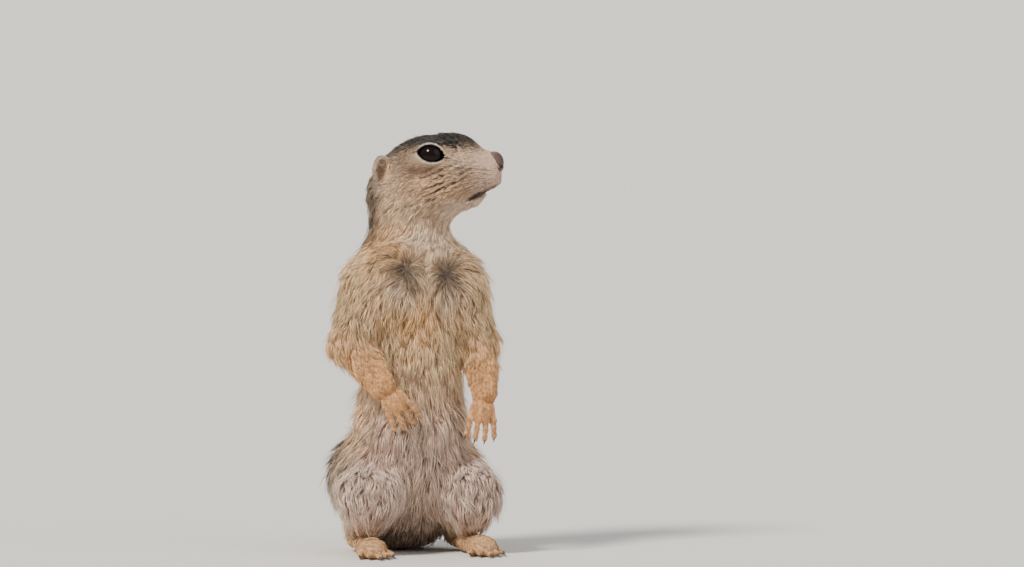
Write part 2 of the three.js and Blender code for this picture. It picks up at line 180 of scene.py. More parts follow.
NOSE_BARE_RADII = [4.0, 3.5, 4.2]  # of the skin without fur round the nose pad
NOSE_TIP = np.array([25.0, 0, -6])
MOUTH = [(26.0, -10.2), (22.9, -10.6), (19.8, -12.1), (16.2, -14.1), (12.8, -15.6)]
MOUTH_DROP = 0.3  # how much lower the mouth's line lies for each mm to the side
SIDES = (("left", 1), ("right", -1))

# The head's forms: the middle and radii of a ball, or the two ends of a bone and their radii
SKULL = ([-0.6, 0, -6], [18.5, 12.7, 13.3])
FOREHEAD = ([7.5, 0, -2], [9.5, 8.2, 9.4])
HEAD_BACK = ([-10.6, 0, -13], [13, 12.6, 12.6])
MUZZLE_BRIDGE = ([10, 0, -6.6], [20.0, 0, -3.2], 8.0, 4.4)
EYE_MOUND = ([0.2, 7.3, -1.1], [8.8, 4.8, 6.1])
CHEEK = ([-0.5, 6.2, -13], [13.5, 8.4, 9.3])
LIP_PAD = ([18.0, 3.0, -8.7], [5.5, 4.4, 5.0])
JAW = ([3, 0, -16.6], [13.6, 0, -16.0], 6.8, 3.6)
EAR_ROOT = ([-15.0, 6.5, -7.5], [-16.4, 9.2, -6.8], 3.4, 2.4)
EAR_FOLD = ([1.8, 0.4, -3.0], [2.0, 0.8, 2.2], 1.25, 0.95)  # in the ear's own frame


def into_head(points):
    return (points - HEAD_AT) @ HEAD_AXES.T


def from_head(points):
    return np.asarray(points, float) @ HEAD_AXES + HEAD_AT


def one_sided(head):
    """Points of the head with the right half folded over onto the left."""
    return head * [1, 0, 1] + np.abs(head) * [0, 1, 0]


def head_form(head):
    """Skull, brow, cheeks, muzzle and chin, for points in the head's frame."""
    both = one_sided(head)
    middle = [ball(head, *place) for place in (SKULL, FOREHEAD, HEAD_BACK)]
    paired = [ball(both, *place) for place in (EYE_MOUND, CHEEK, LIP_PAD)]
    return blend(5, *middle, bone(head, *MUZZLE_BRIDGE), *paired, bone(head, *JAW))


def eye_axes(side):
    """The eye opening's own axes: along it to its front corner, up across it, and out of the head."""
    out = unit(EYE_OUT * np.array([1, side, 1]))
    along = unit(EYE_SLANT - (EYE_SLANT @ out) * out)
    up = np.cross(out, along) * side
    return along, up * np.sign(up[2]), out


def eye_place(head, side):
    """Each point's place on the eye opening: along, up, out, and its distance from the lids' edge."""
    along, up, out = eye_axes(side)
    off = head - EYE_AT * [1, side, 1]
    a, b, o = off @ along, off @ up, off @ out
    radius = (EYE_LONG**2 + EYE_HIGH**2) / (2 * EYE_HIGH)
    shift = radius - EYE_HIGH
    edge = -blend(0.5, -(np.hypot(a, b + shift) - radius), -(np.hypot(a, b - shift) - radius))
    return a, b, o, np.where(o > 0, edge, FAR)


def from_mouth(head):
    """Distance to the mouth's line in the head's side view, how far along it, and 1 below it or -1 above."""
    f, s, u = head.T
    u = u + MOUTH_DROP * np.abs(s)
    best = np.full(len(f), FAR)
    place = np.zeros(len(f))
    for i, (start, end) in enumerate(zip(MOUTH[:-1], MOUTH[1:])):
        df, du = end[0] - start[0], end[1] - start[1]
        t = np.clip(((f - start[0]) * df + (u - start[1]) * du) / (df * df + du * du), 0, 1)
        away = np.hypot(f - start[0] - t * df, u - start[1] - t * du)
        nearer = away < best
        best = np.where(nearer, away, best)
        place = np.where(nearer, (i + t) / (len(MOUTH) - 1), place)
    start, end = MOUTH[0], MOUTH[-1]
    below = np.sign((f - start[0]) * (end[1] - start[1]) - (u - start[1]) * (end[0] - start[0]))
    return best, place, below


def in_ellipsoid(points, centre, radii):
    """How many radii each point lies from the centre, below 1 inside."""
    return np.sqrt((((points - centre) / radii) ** 2).sum(1))


def ear_place(head, side):
    """Points in an ear's own frame: forward, out of the head and up."""
    return (head * [1, side, 1] - EAR_AT) @ EAR_AXES.T


def ear_form(head, side):
    own = ear_place(head, side)
    dish = blend(1.0, ball(own, [0, 0, 0], EAR_RADII), bone(head * [1, side, 1], *EAR_ROOT))
    hollow = ball(own, EAR_HOLLOW_AT, EAR_HOLLOW)
    return blend(0.5, cut(0.5, dish, hollow), bone(own, *EAR_FOLD))


def face_detail(head, distance):
    """Lids, mouth, lips and the cleft under the nose, worked into the head's skin."""
    for _, side in SIDES:
        near = np.linalg.norm(head - EYE_AT * [1, side, 1], axis=1) < 11
        if not near.any():
            continue
        here = head[near]
        *_, edge = eye_place(here, side)
        from_eye = np.linalg.norm(here - EYE_AT * [1, side, 1], axis=1)
        lid = np.maximum(from_eye - EYE_RADIUS - LID_THICK, edge - LID_WIDE)
        skin = blend(1.6, distance[near], lid) - 0.22 * hump(edge, 0.35, 0.4)
        opening = np.maximum(edge, EYE_RADIUS - 0.35 - from_eye)
        distance[near] = cut(0.35, skin, opening)
    front = head[:, 0] > 11
    if front.any():
        f, s, u = head[front].T
        away, place, _ = from_mouth(head[front])
        fade = smoothstep(1.0, 0.8, place)
        groove = fade * hump(away, 0, 0.5)
        lips = 0.3 * fade * hump(away, 1.3, 0.7)
        cleft = 0.5 * hump(s, 0, 0.4) * smoothstep(18, 21, f) * hump(u, -9.2, 2.2)
        distance[front] += groove - lips + cleft
    return distance


# The trunk, limbs and tail

ARMS = {
    "right": {
        "cap": ([-13.2, -1.5, 96], [12, 12.5, 17]),
        "shoulder": [-17.2, -3, 96],
        "elbow": [-23.2, -2.5, 76],
        "wrist": [-17.0, -18, 62],
        "knuckles": [-12.6, -20.8, 56],
        "reach": [0.5, -0.15, -0.85],
        "radii": [10, 8.8, 5.2],
    },
    "left": {
        "cap": ([11.8, -1.5, 96], [11.4, 12.5, 17]),
        "shoulder": [16, -3, 96],
        "elbow": [22.4, -4, 74.5],
        "wrist": [21.4, -18.6, 59],
        "knuckles": [19.8, -21.2, 52],
        "reach": [-0.1, -0.2, -0.96],
        "radii": [9.6, 7.7, 4.9],
    },
}
ARM_CORNERS = ("shoulder", "elbow", "wrist", "knuckles")
LEG = {
    "hip": [12.5, 16, 26],
    "knee": [18.6, -8.5, 21.5],
    "knee_low": [19, -7.5, 15.5],
    "ankle": [18.5, 9, 7],
    "heel": [18.5, 11, 4],
    "arch": [19.3, -6, 3.4],
    "ball": [20.5, -19, 3],
    "toes": [21, -23, 2.4],
}
THIGH_RADII = (15.4, 12.2)
SHANK_RADII = (8.6, 5)
SOLE_RADII = [4.0, 4.2, 5.0, 4.0]
SOLE_FLAT = 0.8
PALM_RADII = (4.2, 4.4)
PALM_FLAT = 0.52
LIMB_MARGIN = 18
TAIL = np.array([[0, 26, 9], [1, 40, 5.2], [4, 58, 3.6], [8, 74, 3], [10, 84, 2.4]], float)
TAIL_RADII = [7.5, 4.4, 3.4, 2.8, 1.6]
FINGERS = 4
FINGER_SPACING = 2.5
FINGER_LENGTH = 10.2
FINGER_RADIUS = 1.22
FINGER_DROOP = -7  # in degrees at each joint
TOES = 5
TOE_SPACING = 2.2
TOE_LENGTH = 8.6
TOE_RADIUS = 1.3
TOE_DROOP = 4
CLAW_LENGTH = 3.6
CLAW_STEPS = (-0.45, -0.1, 0.25, 0.6, 0.95)

# The trunk's balls, each with its middle and radii, and the neck's bone
TRUNK = {
    "hips": ([0, 14, 24], [22.5, 20.5, 25]),
    "belly": ([0, 4.5, 43], [21.5, 20.5, 28]),
    "low_chest": ([0, 1, 74], [19.6, 17.5, 25]),
    "chest": ([0, -1, 94], [18, 15.5, 17]),
}
NECK = ([-0.8, 0.5, 102], [-2.2, -0.2, 126], 17.4, 14.4)


def digit(root, heading, side, length, radius, droop):
    """A finger's or toe's joints and radii, and its claw's line, from root to tip."""
    way = unit(heading)
    points = [np.asarray(root, float) - way * radius * 2]
    for i in range(3):
        points.append(points[-1] + way * (length / 3 + (0 if i else radius * 2)))
        way = turned(way, side, math.radians(droop))[0]
    claw = []
    for part in CLAW_STEPS:
        claw.append(points[-1] + way * part * CLAW_LENGTH)
        way = turned(way, side, math.radians(droop * 0.8))[0]
    radii = [radius, radius * 1.06, radius * 0.9, radius * 0.95]
    return {"points": points, "radii": radii, "claw": claw}


def fingers_of(arm):
    reach = unit(arm["reach"])
    across = unit(np.cross(reach, [0, -1, 0]))
    made = []
    for i in range(FINGERS):
        place = i - (FINGERS - 1) / 2
        root = np.array(arm["knuckles"]) + across * place * FINGER_SPACING
        heading = reach + across * place * 0.11
        length = FINGER_LENGTH - 1.2 * abs(place)
        made.append(digit(root, heading, across, length, FINGER_RADIUS, FINGER_DROOP))
    return made, across


def leg_points(sign):
    return {name: [sign * at[0], at[1], at[2]] for name, at in LEG.items()}


def toes_of(sign):
    across, along, _ = leg_points(sign)["ball"]
    made = []
    for i in range(TOES):
        place = i - (TOES - 1) / 2
        root = [across + place * TOE_SPACING, along - 2.4 + abs(place) * 1.7, 2]
        heading = [place * 0.12, -1, -0.02]
        length = TOE_LENGTH - 1.1 * abs(place)
        made.append(digit(root, heading, [1, 0, 0], length, TOE_RADIUS, TOE_DROOP))
    return made


HANDS = {name: fingers_of(arm) for name, arm in ARMS.items()}
FEET = {name: toes_of(sign) for name, sign in SIDES}


def chain(points, path, radii, soft):
    pieces = [bone(points, path[i], path[i + 1], radii[i], radii[i + 1]) for i in range(len(path) - 1)]
    return blend(soft, *pieces)


def digits_form(points, digits):
    total = np.full(len(points), FAR)
    for made in digits:
        path, radii = made["points"], made["radii"]
        near = where_near(points, path, 4, lambda here: chain(here, path, radii, 0.6))
        total = np.minimum(total, near)
    return total


def hand_form(points, name):
    arm = ARMS[name]
    digits, across = HANDS[name]
    wrist = np.array(arm["wrist"])
    knuckles = np.array(arm["knuckles"])
    start = wrist - unit(wrist - np.array(arm["elbow"])) * 2
    normal = np.cross(across, unit(arm["reach"]))
    flat = squashed(points, knuckles, normal, PALM_FLAT)
    start = squashed(start[None], knuckles, normal, PALM_FLAT)[0]
    palm = bone(flat, start, knuckles, *PALM_RADII) * 0.75
    return blend(0.9, palm, digits_form(points, digits))


def foot_form(points, name, sign):
    at = leg_points(sign)
    stretch = np.array([1, 1, 1 / SOLE_FLAT])
    path = [at[key] * stretch for key in ("heel", "arch", "ball", "toes")]
    sole = chain(points * stretch, path, SOLE_RADII, 2) * 0.9
    return blend(0.9, sole, digits_form(points, FEET[name]))


ARM_PARTS = ("upper_arm", "forearm", "hand")
LEG_PARTS = ("thigh", "shank", "foot")


def sided(parts, side):
    return [f"{part}_{side}" for part in parts]


REGIONS = ["head", "ear", "neck", "chest", "belly", "hips", "tail"]
for side, _ in SIDES:
    REGIONS += sided(ARM_PARTS + LEG_PARTS, side)
NUMBER = {name: i for i, name in enumerate(REGIONS)}

# The coat of each kind of region: how deep the skin lies, a tuft's length and width in mm, its lift from
# the skin in degrees, tufts to the square mm, the spacing of clumps in mm, and how much of it is flecked
COAT = {
    "head": (1.0, 2.3, 0.165, 18, 8.5, 1.3, 0.3),
    "ear": (0.25, 0.9, 0.13, 22, 10.0, 1.0, 0.3),
    "neck": (2.0, 5.2, 0.21, 22, 4.6, 2.8, 0.45),
    "chest": (2.7, 7.6, 0.27, 25, 3.3, 2.8, 0.45),
    "belly": (2.8, 7.8, 0.29, 25, 3.0, 2.8, 0.55),
    "hips": (2.8, 7.8, 0.31, 24, 2.6, 2.8, 0.6),
    "tail": (1.0, 10.5, 0.36, 26, 4.5, 1.8, 0.7),
    "upper_arm": (2.1, 6.2, 0.26, 23, 3.4, 2.8, 0.3),
    "forearm": (1.6, 4.8, 0.24, 21, 4.0, 2.0, 0.3),
    "hand": (0.3, 1.4, 0.16, 13, 6.5, 1.2, 0.3),
    "thigh": (2.6, 7.0, 0.30, 23, 2.6, 2.8, 0.45),
    "shank": (1.4, 4.4, 0.26, 20, 3.4, 2.8, 0.3),
    "foot": (0.35, 1.5, 0.17, 13, 5.5, 1.4, 0.3),
}


def kind_of(region):
    return region.replace("_left", "").replace("_right", "")


COAT_TABLE = np.array([COAT[kind_of(name)] for name in REGIONS])
SKIN_DEPTH, _, _, _, DENSITY, _, GRIZZLE = COAT_TABLE.T


def add_arm(points, side, found, whole):
    """One arm's regions, and the arm blended into the whole."""
    arm = ARMS[side]
    near = inside_box(points, [arm[key] for key in ARM_CORNERS], LIMB_MARGIN)
    if not near.any():
        return
    here = points[near]
    first, second, third = arm["radii"]
    upper = bone(here, arm["shoulder"], arm["elbow"], first, second)
    fore = bone(here, arm["elbow"], arm["wrist"], second, third)
    hand = hand_form(here, side)
    for name, distance in zip(sided(ARM_PARTS, side), (upper, fore, hand)):
        found[NUMBER[name], near] = distance
    body = blend(lerp(2, 7, smoothstep(78, 98, here[:, 2])), whole[near], upper)
    whole[near] = blend(1.2, blend(3, body, blend(3, upper, fore)), hand)


def add_leg(points, side, sign, found, whole):
    """One leg's regions, and the leg blended into the whole."""
    at = leg_points(sign)
    near = inside_box(points, list(at.values()), LIMB_MARGIN)
    if not near.any():
        return
    here = points[near]
    thigh = bone(here, at["hip"], at["knee"], *THIGH_RADII)
    shank = bone(here, at["knee_low"], at["ankle"], *SHANK_RADII)
    foot = foot_form(here, side, sign)
    for name, distance in zip(sided(LEG_PARTS, side), (thigh, shank, foot)):
        found[NUMBER[name], near] = distance
    leg = blend(2.5, blend(9, whole[near], thigh), shank)
    whole[near] = blend(1.2, leg, foot)


def forms(points):
    """Points in the head's frame, each region's distance, and the whole outer form's with its coat on."""
    head = into_head(points)
    found = np.full((len(REGIONS), len(points)), FAR)
    skull = head_form(head)
    trunk = {name: ball(points, *place) for name, place in TRUNK.items()}
    neck = bone(points, *NECK)
    caps = [ball(points, *ARMS[side]["cap"]) for side, _ in SIDES]
    whole = blend(7, blend(9, *trunk.values(), neck), skull, *caps)
    found[NUMBER["head"]] = skull
    found[NUMBER["neck"]] = neck
    found[NUMBER["chest"]] = np.minimum.reduce([trunk["low_chest"], trunk["chest"], *caps])
    found[NUMBER["belly"]] = trunk["belly"]
    found[NUMBER["hips"]] = trunk["hips"]
    for side, sign in SIDES:
        add_arm(points, side, found, whole)
        add_leg(points, side, sign, found, whole)
    tail = where_near(points, TAIL, 12, lambda here: chain(here, TAIL, TAIL_RADII, 3))
    found[NUMBER["tail"]] = tail
    whole = blend(5, whole, tail)
    near = inside_box(points, from_head([EAR_AT, EAR_AT * [1, -1, 1]]), 10)
    if near.any():
        ears = np.minimum(ear_form(head[near], 1), ear_form(head[near], -1))
        found[NUMBER["ear"], near] = ears
        whole[near] = blend(1.4, whole[near], ears)
    return head, found, whole


REGION_SOFT = 2.0
FLOOR_CLEAR = 0.15
EYE_BARE_AT = np.array([EYE_AT[0], 13.2, EYE_AT[2]])  # the coat is shortest round here


def shares(found):
    """How far each point belongs to each region, adding up to one."""
    lowest = found.min(0)
    weights = np.exp(-(found - lowest) / REGION_SOFT)
    return weights / weights.sum(0)


def coat_scale(points, head, weights):
    """How much the coat shortens near the nose, mouth and eyes, and down each lower limb."""
    from_nose = np.linalg.norm(head - NOSE_TIP, axis=1)
    scale = 0.3 + 0.7 * smoothstep(1, 24, from_nose)
    for _, side in SIDES:
        from_eye = np.linalg.norm(head - EYE_BARE_AT * [1, side, 1], axis=1)
        scale = scale * (0.4 + 0.6 * smoothstep(3.5, 9.5, from_eye))
    scale = lerp(1.0, scale, head_share(weights))
    for side, sign in SIDES:
        at = leg_points(sign)
        for region, start, end in (
            (f"forearm_{side}", ARMS[side]["elbow"], ARMS[side]["wrist"]),
            (f"shank_{side}", at["knee_low"], at["ankle"]),
        ):
            along = np.subtract(end, start)
            t = np.clip((points - start) @ along / (along @ along), 0, 1)
            scale = scale * lerp(1.0, lerp(1.2, 0.32, t), weights[NUMBER[region]])
    return scale


def head_share(weights):
    return np.clip(weights[NUMBER["head"]] + weights[NUMBER["ear"]], 0, 1)


def skin_form(points):
    """Distance to the bare skin."""
    head, found, whole = forms(points)
    weights = shares(found)
    skin = whole + (SKIN_DEPTH[:, None] * weights).sum(0) * coat_scale(points, head, weights)
    near = np.abs(found[NUMBER["head"]]) < 4
    if near.any():
        skin[near] = face_detail(head[near], skin[near])
    return cut(0.6, skin, points[:, 2] - FLOOR_CLEAR)


def slope(form, points, reach=0.06):
    """The form's distance and its direction of growth at each point."""
    taps = np.array([[1, -1, -1], [-1, -1, 1], [-1, 1, -1], [1, 1, 1]], float)
    values = [form(points + tap * reach) for tap in taps]
    grow = sum(value[:, None] * tap for value, tap in zip(values, taps)) / (4 * reach)
    return sum(values) / 4, grow


# Polygonising the skin

CELL = 0.7
BLOCK = 4
SKIN_BOX = np.array([[-36, -36, -1.4], [37, 92, 160]], float)


def sample_grid(form, box, cell, block, slack):
    """Values of the form on a grid: fine near its surface, and only their sign counts elsewhere."""
    low = box[0]
    blocks = np.ceil((box[1] - low) / (cell * block)).astype(int)
    axes = [low[i] + (np.arange(blocks[i]) + 0.5) * cell * block - cell / 2 for i in range(3)]
    centres = np.stack(np.meshgrid(*axes, indexing="ij"), -1).reshape(-1, 3)
    coarse = form(centres)
    values = coarse.reshape(blocks)
    for axis in range(3):
        values = np.repeat(values, block, axis=axis)
    close = np.argwhere(np.abs(coarse.reshape(blocks)) < cell * block * 0.87 + slack)
    inner = np.stack(np.meshgrid(*[np.arange(block)] * 3, indexing="ij"), -1).reshape(-1, 3)
    cells = (close[:, None, :] * block + inner[None]).reshape(-1, 3)
    values[cells[:, 0], cells[:, 1], cells[:, 2]] = form(low + cells * cell)
    return values, low


def surface_net(values, low, cell):
    """One vertex for each cell that the surface crosses, and a quad for each grid edge that it crosses."""
    inside = values < 0
    size = np.array(values.shape)
    corners = [(i, j, k) for i in (0, 1) for j in (0, 1) for k in (0, 1)]
    count = np.zeros(size - 1, np.int8)
    for i, j, k in corners:
        count += inside[i : size[0] - 1 + i, j : size[1] - 1 + j, k : size[2] - 1 + k]
    active = (count > 0) & (count < 8)
    cells = np.argwhere(active)
    number = np.full(size - 1, -1, np.int64)
    number[active] = np.arange(len(cells))
    at_corner = [values[cells[:, 0] + i, cells[:, 1] + j, cells[:, 2] + k] for i, j, k in corners]
    total = np.zeros((len(cells), 3))
    crossings = np.zeros(len(cells))
    for first in range(8):
        for second in range(first + 1, 8):
            start, end = np.array(corners[first]), np.array(corners[second])
            if np.abs(start - end).sum() != 1:
                continue
            a, b = at_corner[first], at_corner[second]
            crossed = (a < 0) != (b < 0)
            t = np.where(crossed, a / np.where(crossed, a - b, 1), 0)
            total += np.where(crossed[:, None], start + t[:, None] * (end - start), 0)
            crossings += crossed
    vertices = low + (cells + total / crossings[:, None]) * cell
    quads = []
    for axis in range(3):
        one, two = np.eye(3, dtype=int)[(axis + 1) % 3], np.eye(3, dtype=int)[(axis + 2) % 3]
        step = np.eye(3, dtype=int)[axis]
        ahead = inside[step[0] :, step[1] :, step[2] :]
        behind = inside[: size[0] - step[0], : size[1] - step[1], : size[2] - step[2]]
        edges = np.argwhere(ahead != behind)
        edges = edges[((edges - one - two) >= 0).all(1) & (edges < size - 1).all(1)]
        ring = [edges, edges - one, edges - one - two, edges - two]
        faces = np.stack([number[c[:, 0], c[:, 1], c[:, 2]] for c in ring], 1)
        outward = inside[edges[:, 0], edges[:, 1], edges[:, 2]]
        faces = np.where(outward[:, None], faces, faces[:, ::-1])
        quads.append(faces[(faces >= 0).all(1)])
    return vertices, np.concatenate(quads)


def settle(form, points, rounds, most=0.5):
    """Moves points onto the form's surface."""
    for _ in range(rounds):
        value, grow = slope(form, points)
        steep = (grow**2).sum(1).clip(0.15)
        step = np.clip(value / np.sqrt(steep), -most, most)
        points = points - step[:, None] * unit(grow)
    return points


# Meshes


def set_places(mesh, vertices):
    """Gives a mesh its vertices from points in the forms' millimetres."""
    mesh.vertices.foreach_set("co", ((vertices - SEAT) * MM).astype(np.float32).ravel())


def vertices_of(mesh):
    flat = np.zeros(len(mesh.vertices) * 3, np.float32)
    mesh.vertices.foreach_get("co", flat)
    return flat.reshape(-1, 3).astype(float) / MM + SEAT


def mesh_object(name, vertices, faces):
    """A smooth mesh object from points in the forms' millimetres and faces of one length."""
    mesh = bpy.data.meshes.new(name)
    faces = np.asarray(faces, np.int32)
    mesh.vertices.add(len(vertices))
    set_places(mesh, vertices)
    mesh.loops.add(faces.size)
    mesh.loops.foreach_set("vertex_index", faces.ravel())
    mesh.polygons.add(len(faces))
    mesh.polygons.foreach_set("loop_start", np.arange(len(faces), dtype=np.int32) * faces.shape[1])
    mesh.update(calc_edges=True)
    mesh.polygons.foreach_set("use_smooth", np.full(len(faces), True))
    return linked(bpy.data.objects.new(name, mesh))


def linked(made):
    bpy.context.scene.collection.objects.link(made)
    return made


def paint(mesh, colours):
    """Keeps one linear colour for each vertex."""
    tint = mesh.attributes.new("coat_tint", "FLOAT_COLOR", "POINT")
    full = np.ones((len(colours), 4), np.float32)
    full[:, :3] = colours
    tint.data.foreach_set("color", full.ravel())


def refine(mesh, wanted):
    """Splits the faces in wanted, a mask over the vertices, once each way."""
    work = bmesh.new()
    work.from_mesh(mesh)
    work.verts.ensure_lookup_table()
    edges = [e for e in work.edges if wanted[e.verts[0].index] and wanted[e.verts[1].index]]
    bmesh.ops.subdivide_edges(work, edges=edges, cuts=1, use_grid_fill=True)
    for face in work.faces:
        face.smooth = True
    work.to_mesh(mesh)
    work.free()


LIDS_AT = [EYE_AT[0], 13, EYE_AT[2]]


def fine_zone(points, close):
    """Where the skin needs smaller faces: the face, ears, hands and feet, or only lids and lips."""
    head = into_head(points)
    folded = one_sided(head)
    from_eye = np.linalg.norm(folded - LIDS_AT, axis=1)
    away, *_ = from_mouth(head)
    on_muzzle = (head[:, 0] > 12) & (folded[:, 1] < 14)
    if close:
        return (from_eye < 6.6) | ((away < 1.5) & on_muzzle)
    zone = (from_eye < 9) | (np.linalg.norm(folded - EAR_AT, axis=1) < 9) | on_muzzle
    for digits in [*(made for made, _ in HANDS.values()), *FEET.values()]:
        zone |= digits_form(points, digits) < 1.5
    return zone


def make_skin():
    values, low = sample_grid(skin_form, SKIN_BOX, CELL, BLOCK, 0.9)
    vertices, quads = surface_net(values, low, CELL)
    vertices = settle(skin_form, vertices, 2)
    skin = mesh_object("skin", vertices, quads)
    for close in (False, True):
        refine(skin.data, fine_zone(vertices_of(skin.data), close))
        vertices = vertices_of(skin.data)
        moved = fine_zone(vertices, close)
        vertices[moved] = settle(skin_form, vertices[moved], 2, 0.25)
        set_places(skin.data, vertices)
    skin.data.update()
    return skin


# Markings, as display colours

TINTS = {
    "head": (212, 178, 144),
    "ear": (174, 142, 116),
    "neck": (250, 218, 184),
    "chest": (252, 212, 166),
    "belly": (240, 198, 156),
    "hips": (164, 142, 120),
    "tail": (150, 130, 108),
    "upper_arm": (228, 194, 152),
    "forearm": (246, 188, 128),
    "hand": (226, 168, 114),
    "thigh": (190, 166, 142),
    "shank": (216, 174, 128),
    "foot": (220, 174, 126),
}
TINT_TABLE = np.array([linear(*TINTS[kind_of(name)]) for name in REGIONS])
CROWN = linear(46, 40, 34)
NAPE = linear(108, 97, 82)
BACK = linear(124, 106, 88)
EYE_RING = linear(240, 226, 206)
MUZZLE = linear(226, 192, 168)
PALE_FACE = linear(230, 200, 174)
CHIN = linear(236, 210, 186)
# Dark lip skin, together with painted shade on the muzzle's underside
LIP_SKIN_AND_SHADE = linear(48, 32, 26)
# Painted shade on the muzzle's underside at its sides, a softer brown
MUZZLE_UNDERSIDE_SHADE = linear(104, 74, 60)
STREAK = linear(40, 22, 13)
CHEEK_WARM = linear(204, 150, 108)
CHEEK_LIGHT = linear(250, 214, 172)
CHEEK_GREY = linear(100, 73, 54)
BROW_BACK = linear(152, 134, 114)
THROAT = linear(186, 158, 134)
NECK_ORANGE = linear(228, 168, 96)
BELLY_PALE = linear(238, 208, 190)
WHORL = linear(52, 40, 33)
NECK_PALE = linear(252, 224, 196)
# Grey-brown underfur, together with painted shade deep in the coat
UNDERFUR_AND_SHADE = linear(84, 70, 60)
BARE_DARK = linear(30, 21, 18)
NOSE_SKIN = linear(86, 61, 52)
# Dark skin round the nose pad, and painted shade on the pad's underside
NOSE_DARK = linear(58, 40, 34)
# Painted shade in the nostrils
NOSTRIL_SHADE = linear(20, 13, 11)
EAR_INSIDE = linear(158, 118, 90)
# Painted shade in the slit of the ear's hollow
EAR_SLIT_SHADE = linear(34, 17, 10)
EAR_PALE = linear(204, 166, 128)
GOLD = linear(230, 172, 100)
WHORLS = [np.array([-6.8, -16, 102.5]), np.array([8.8, -16, 101])]
STREAK_SLANT = 0.44  # in radians, down towards the ear
STREAK_SPACING = 2.0
BACK_TWIST = math.radians(65)  # how far the line of the back turns with the neck, up to the head


def mixed(colours, other, amount):
    return colours + (other - colours) * np.clip(amount, 0, 1)[:, None]


class Layers:
    """The coat's colours, and how strongly it is flecked, with one marking laid on after another."""

    def __init__(self, points, head, weights):
        self.points = points
        self.head = head
        self.weights = weights
        self.on_head = head_share(weights)
        self.off_head = 1 - self.on_head
        self.patch = mottle(points, 7, 1)
        self.colours = weights.T @ TINT_TABLE
        self.grizzle = GRIZZLE @ weights

    def lay(self, colour, amount):
        self.colours = mixed(self.colours, colour, amount)


def mark_back(coat):
    """A darker, flecked back and nape, and a paler low front."""
    x, y, z = coat.points.T
    f, _, u = coat.head.T
    twist = BACK_TWIST * smoothstep(94, 126, z)
    rearward = (y - np.interp(z, [50, 100, 126], [3, 0, -0.5])) * np.cos(twist) - x * np.sin(twist)
    behind = smoothstep(lerp(2, 7, twist), 13, rearward) * smoothstep(12, 30, z)
    behind = behind * lerp(1.0, smoothstep(-10, -17, f) * smoothstep(-2, -8, u), coat.on_head)
    coat.lay(BACK, 0.85 * behind)
    coat.grizzle = np.maximum(coat.grizzle, 0.8 * behind)
    coat.lay(NAPE, 0.8 * smoothstep(5, 12, rearward) * smoothstep(88, 118, z) * coat.off_head)
    low_front = smoothstep(78, 38, z + 3 * coat.patch) * smoothstep(4, 12, z)
    low_front = smoothstep(6, -8, y) * coat.off_head * low_front
    lower_limbs = [f"{limb}_{side}" for limb in ("forearm", "hand", "foot") for side, _ in SIDES]
    on_limb = sum(coat.weights[NUMBER[name]] for name in lower_limbs)
    coat.lay(BELLY_PALE, 0.8 * low_front * (1 - on_limb))


def mark_crown(coat):
    """The dark crown, down to the brow and along the nose's ridge."""
    f, s, u = coat.head.T
    brim = 1.7 + 1.7 * hump(f, 0, 8) - 4.5 * smoothstep(-10, -20, f) - 0.16 * np.clip(f - 12, 0, None)
    crown = smoothstep(-1.4, 1.2, u - brim + 0.25 * coat.patch) * smoothstep(25, 13, f) * coat.on_head
    crown = crown * (1 - 0.5 * smoothstep(2.5, 6, np.abs(s)) * smoothstep(9, 15, f))
    coat.lay(BROW_BACK, 0.8 * hump(f, -12, 7) * smoothstep(-7, -1, u) * coat.on_head)
    coat.lay(CROWN, crown)
    coat.grizzle = lerp(coat.grizzle, 0.7, crown)
    return crown


def mark_muzzle(coat, crown):
    """A pale face before the eye, muzzle, chin and throat."""
    f, _, u = coat.head.T
    coat.lay(PALE_FACE, 0.85 * hump(f, 12, 6) * hump(u, -3, 5) * (1 - crown) * coat.on_head)
    coat.lay(MUZZLE, smoothstep(12, 18, f) * (1 - crown) * coat.on_head)
    coat.lay(CHIN, smoothstep(-13.5, -18, u) * smoothstep(0, 8, f) * coat.on_head)
    coat.lay(THROAT, smoothstep(-17, -24, u) * smoothstep(6, -4, f) * coat.on_head * 0.5)


def mark_cheek(coat):
    """A warm cheek with rows of dark streaks that run back and down from the muzzle."""
    f, s, u = coat.head.T
    outside = smoothstep(4, 8, np.abs(s)) * coat.on_head
    coat.lay(CHEEK_GREY, hump(f, -2, 9) * hump(u, -5.6, 2.6) * outside)
    coat.lay(CHEEK_WARM, 0.6 * hump(f, 1, 10) * hump(u, -11.5, 4) * outside)
    across = (u + 10.2) * math.cos(STREAK_SLANT) - (f - 3) * math.sin(STREAK_SLANT)
    wave = 2 * math.pi * across / STREAK_SPACING + 0.7 * mottle(coat.points, 6, 2)
    rows = smoothstep(-0.2, 0.7, np.cos(wave))
    streaks = np.minimum(1.9 * hump(f, 2.5, 9.5) * hump(across, -0.3, 4.6), 1)
    streaks = streaks * smoothstep(4, 7, np.abs(s)) * coat.on_head
    coat.lay(CHEEK_LIGHT, 0.45 * streaks * (1 - rows))
    coat.lay(STREAK, streaks * rows * smoothstep(-1.5, -0.3, mottle(coat.points, 2.6, 3)))


def mark_eyes(coat):
    """A pale ring round each eye, with dark lid edges and dark corners."""
    for _, side in SIDES:
        a, b, o, edge = eye_place(coat.head, side)
        near = (o > 0) & (np.hypot(a, b) < 12)
        ring = near * smoothstep(1.1, 0.65, edge) * (0.35 + 0.65 * smoothstep(0.5, 2.4, np.abs(b)))
        coat.lay(EYE_RING, 0.85 * ring)
        coat.grizzle = coat.grizzle * (1 - ring)
        coat.lay(BARE_DARK, near * smoothstep(0.55, 0.3, edge))
        corners = hump(a, 6.1, 1.2) * hump(b, -0.1, 0.55) + hump(a, -5.9, 0.9) * hump(b, 0, 0.35)
        coat.lay(BARE_DARK, near * 0.95 * corners)


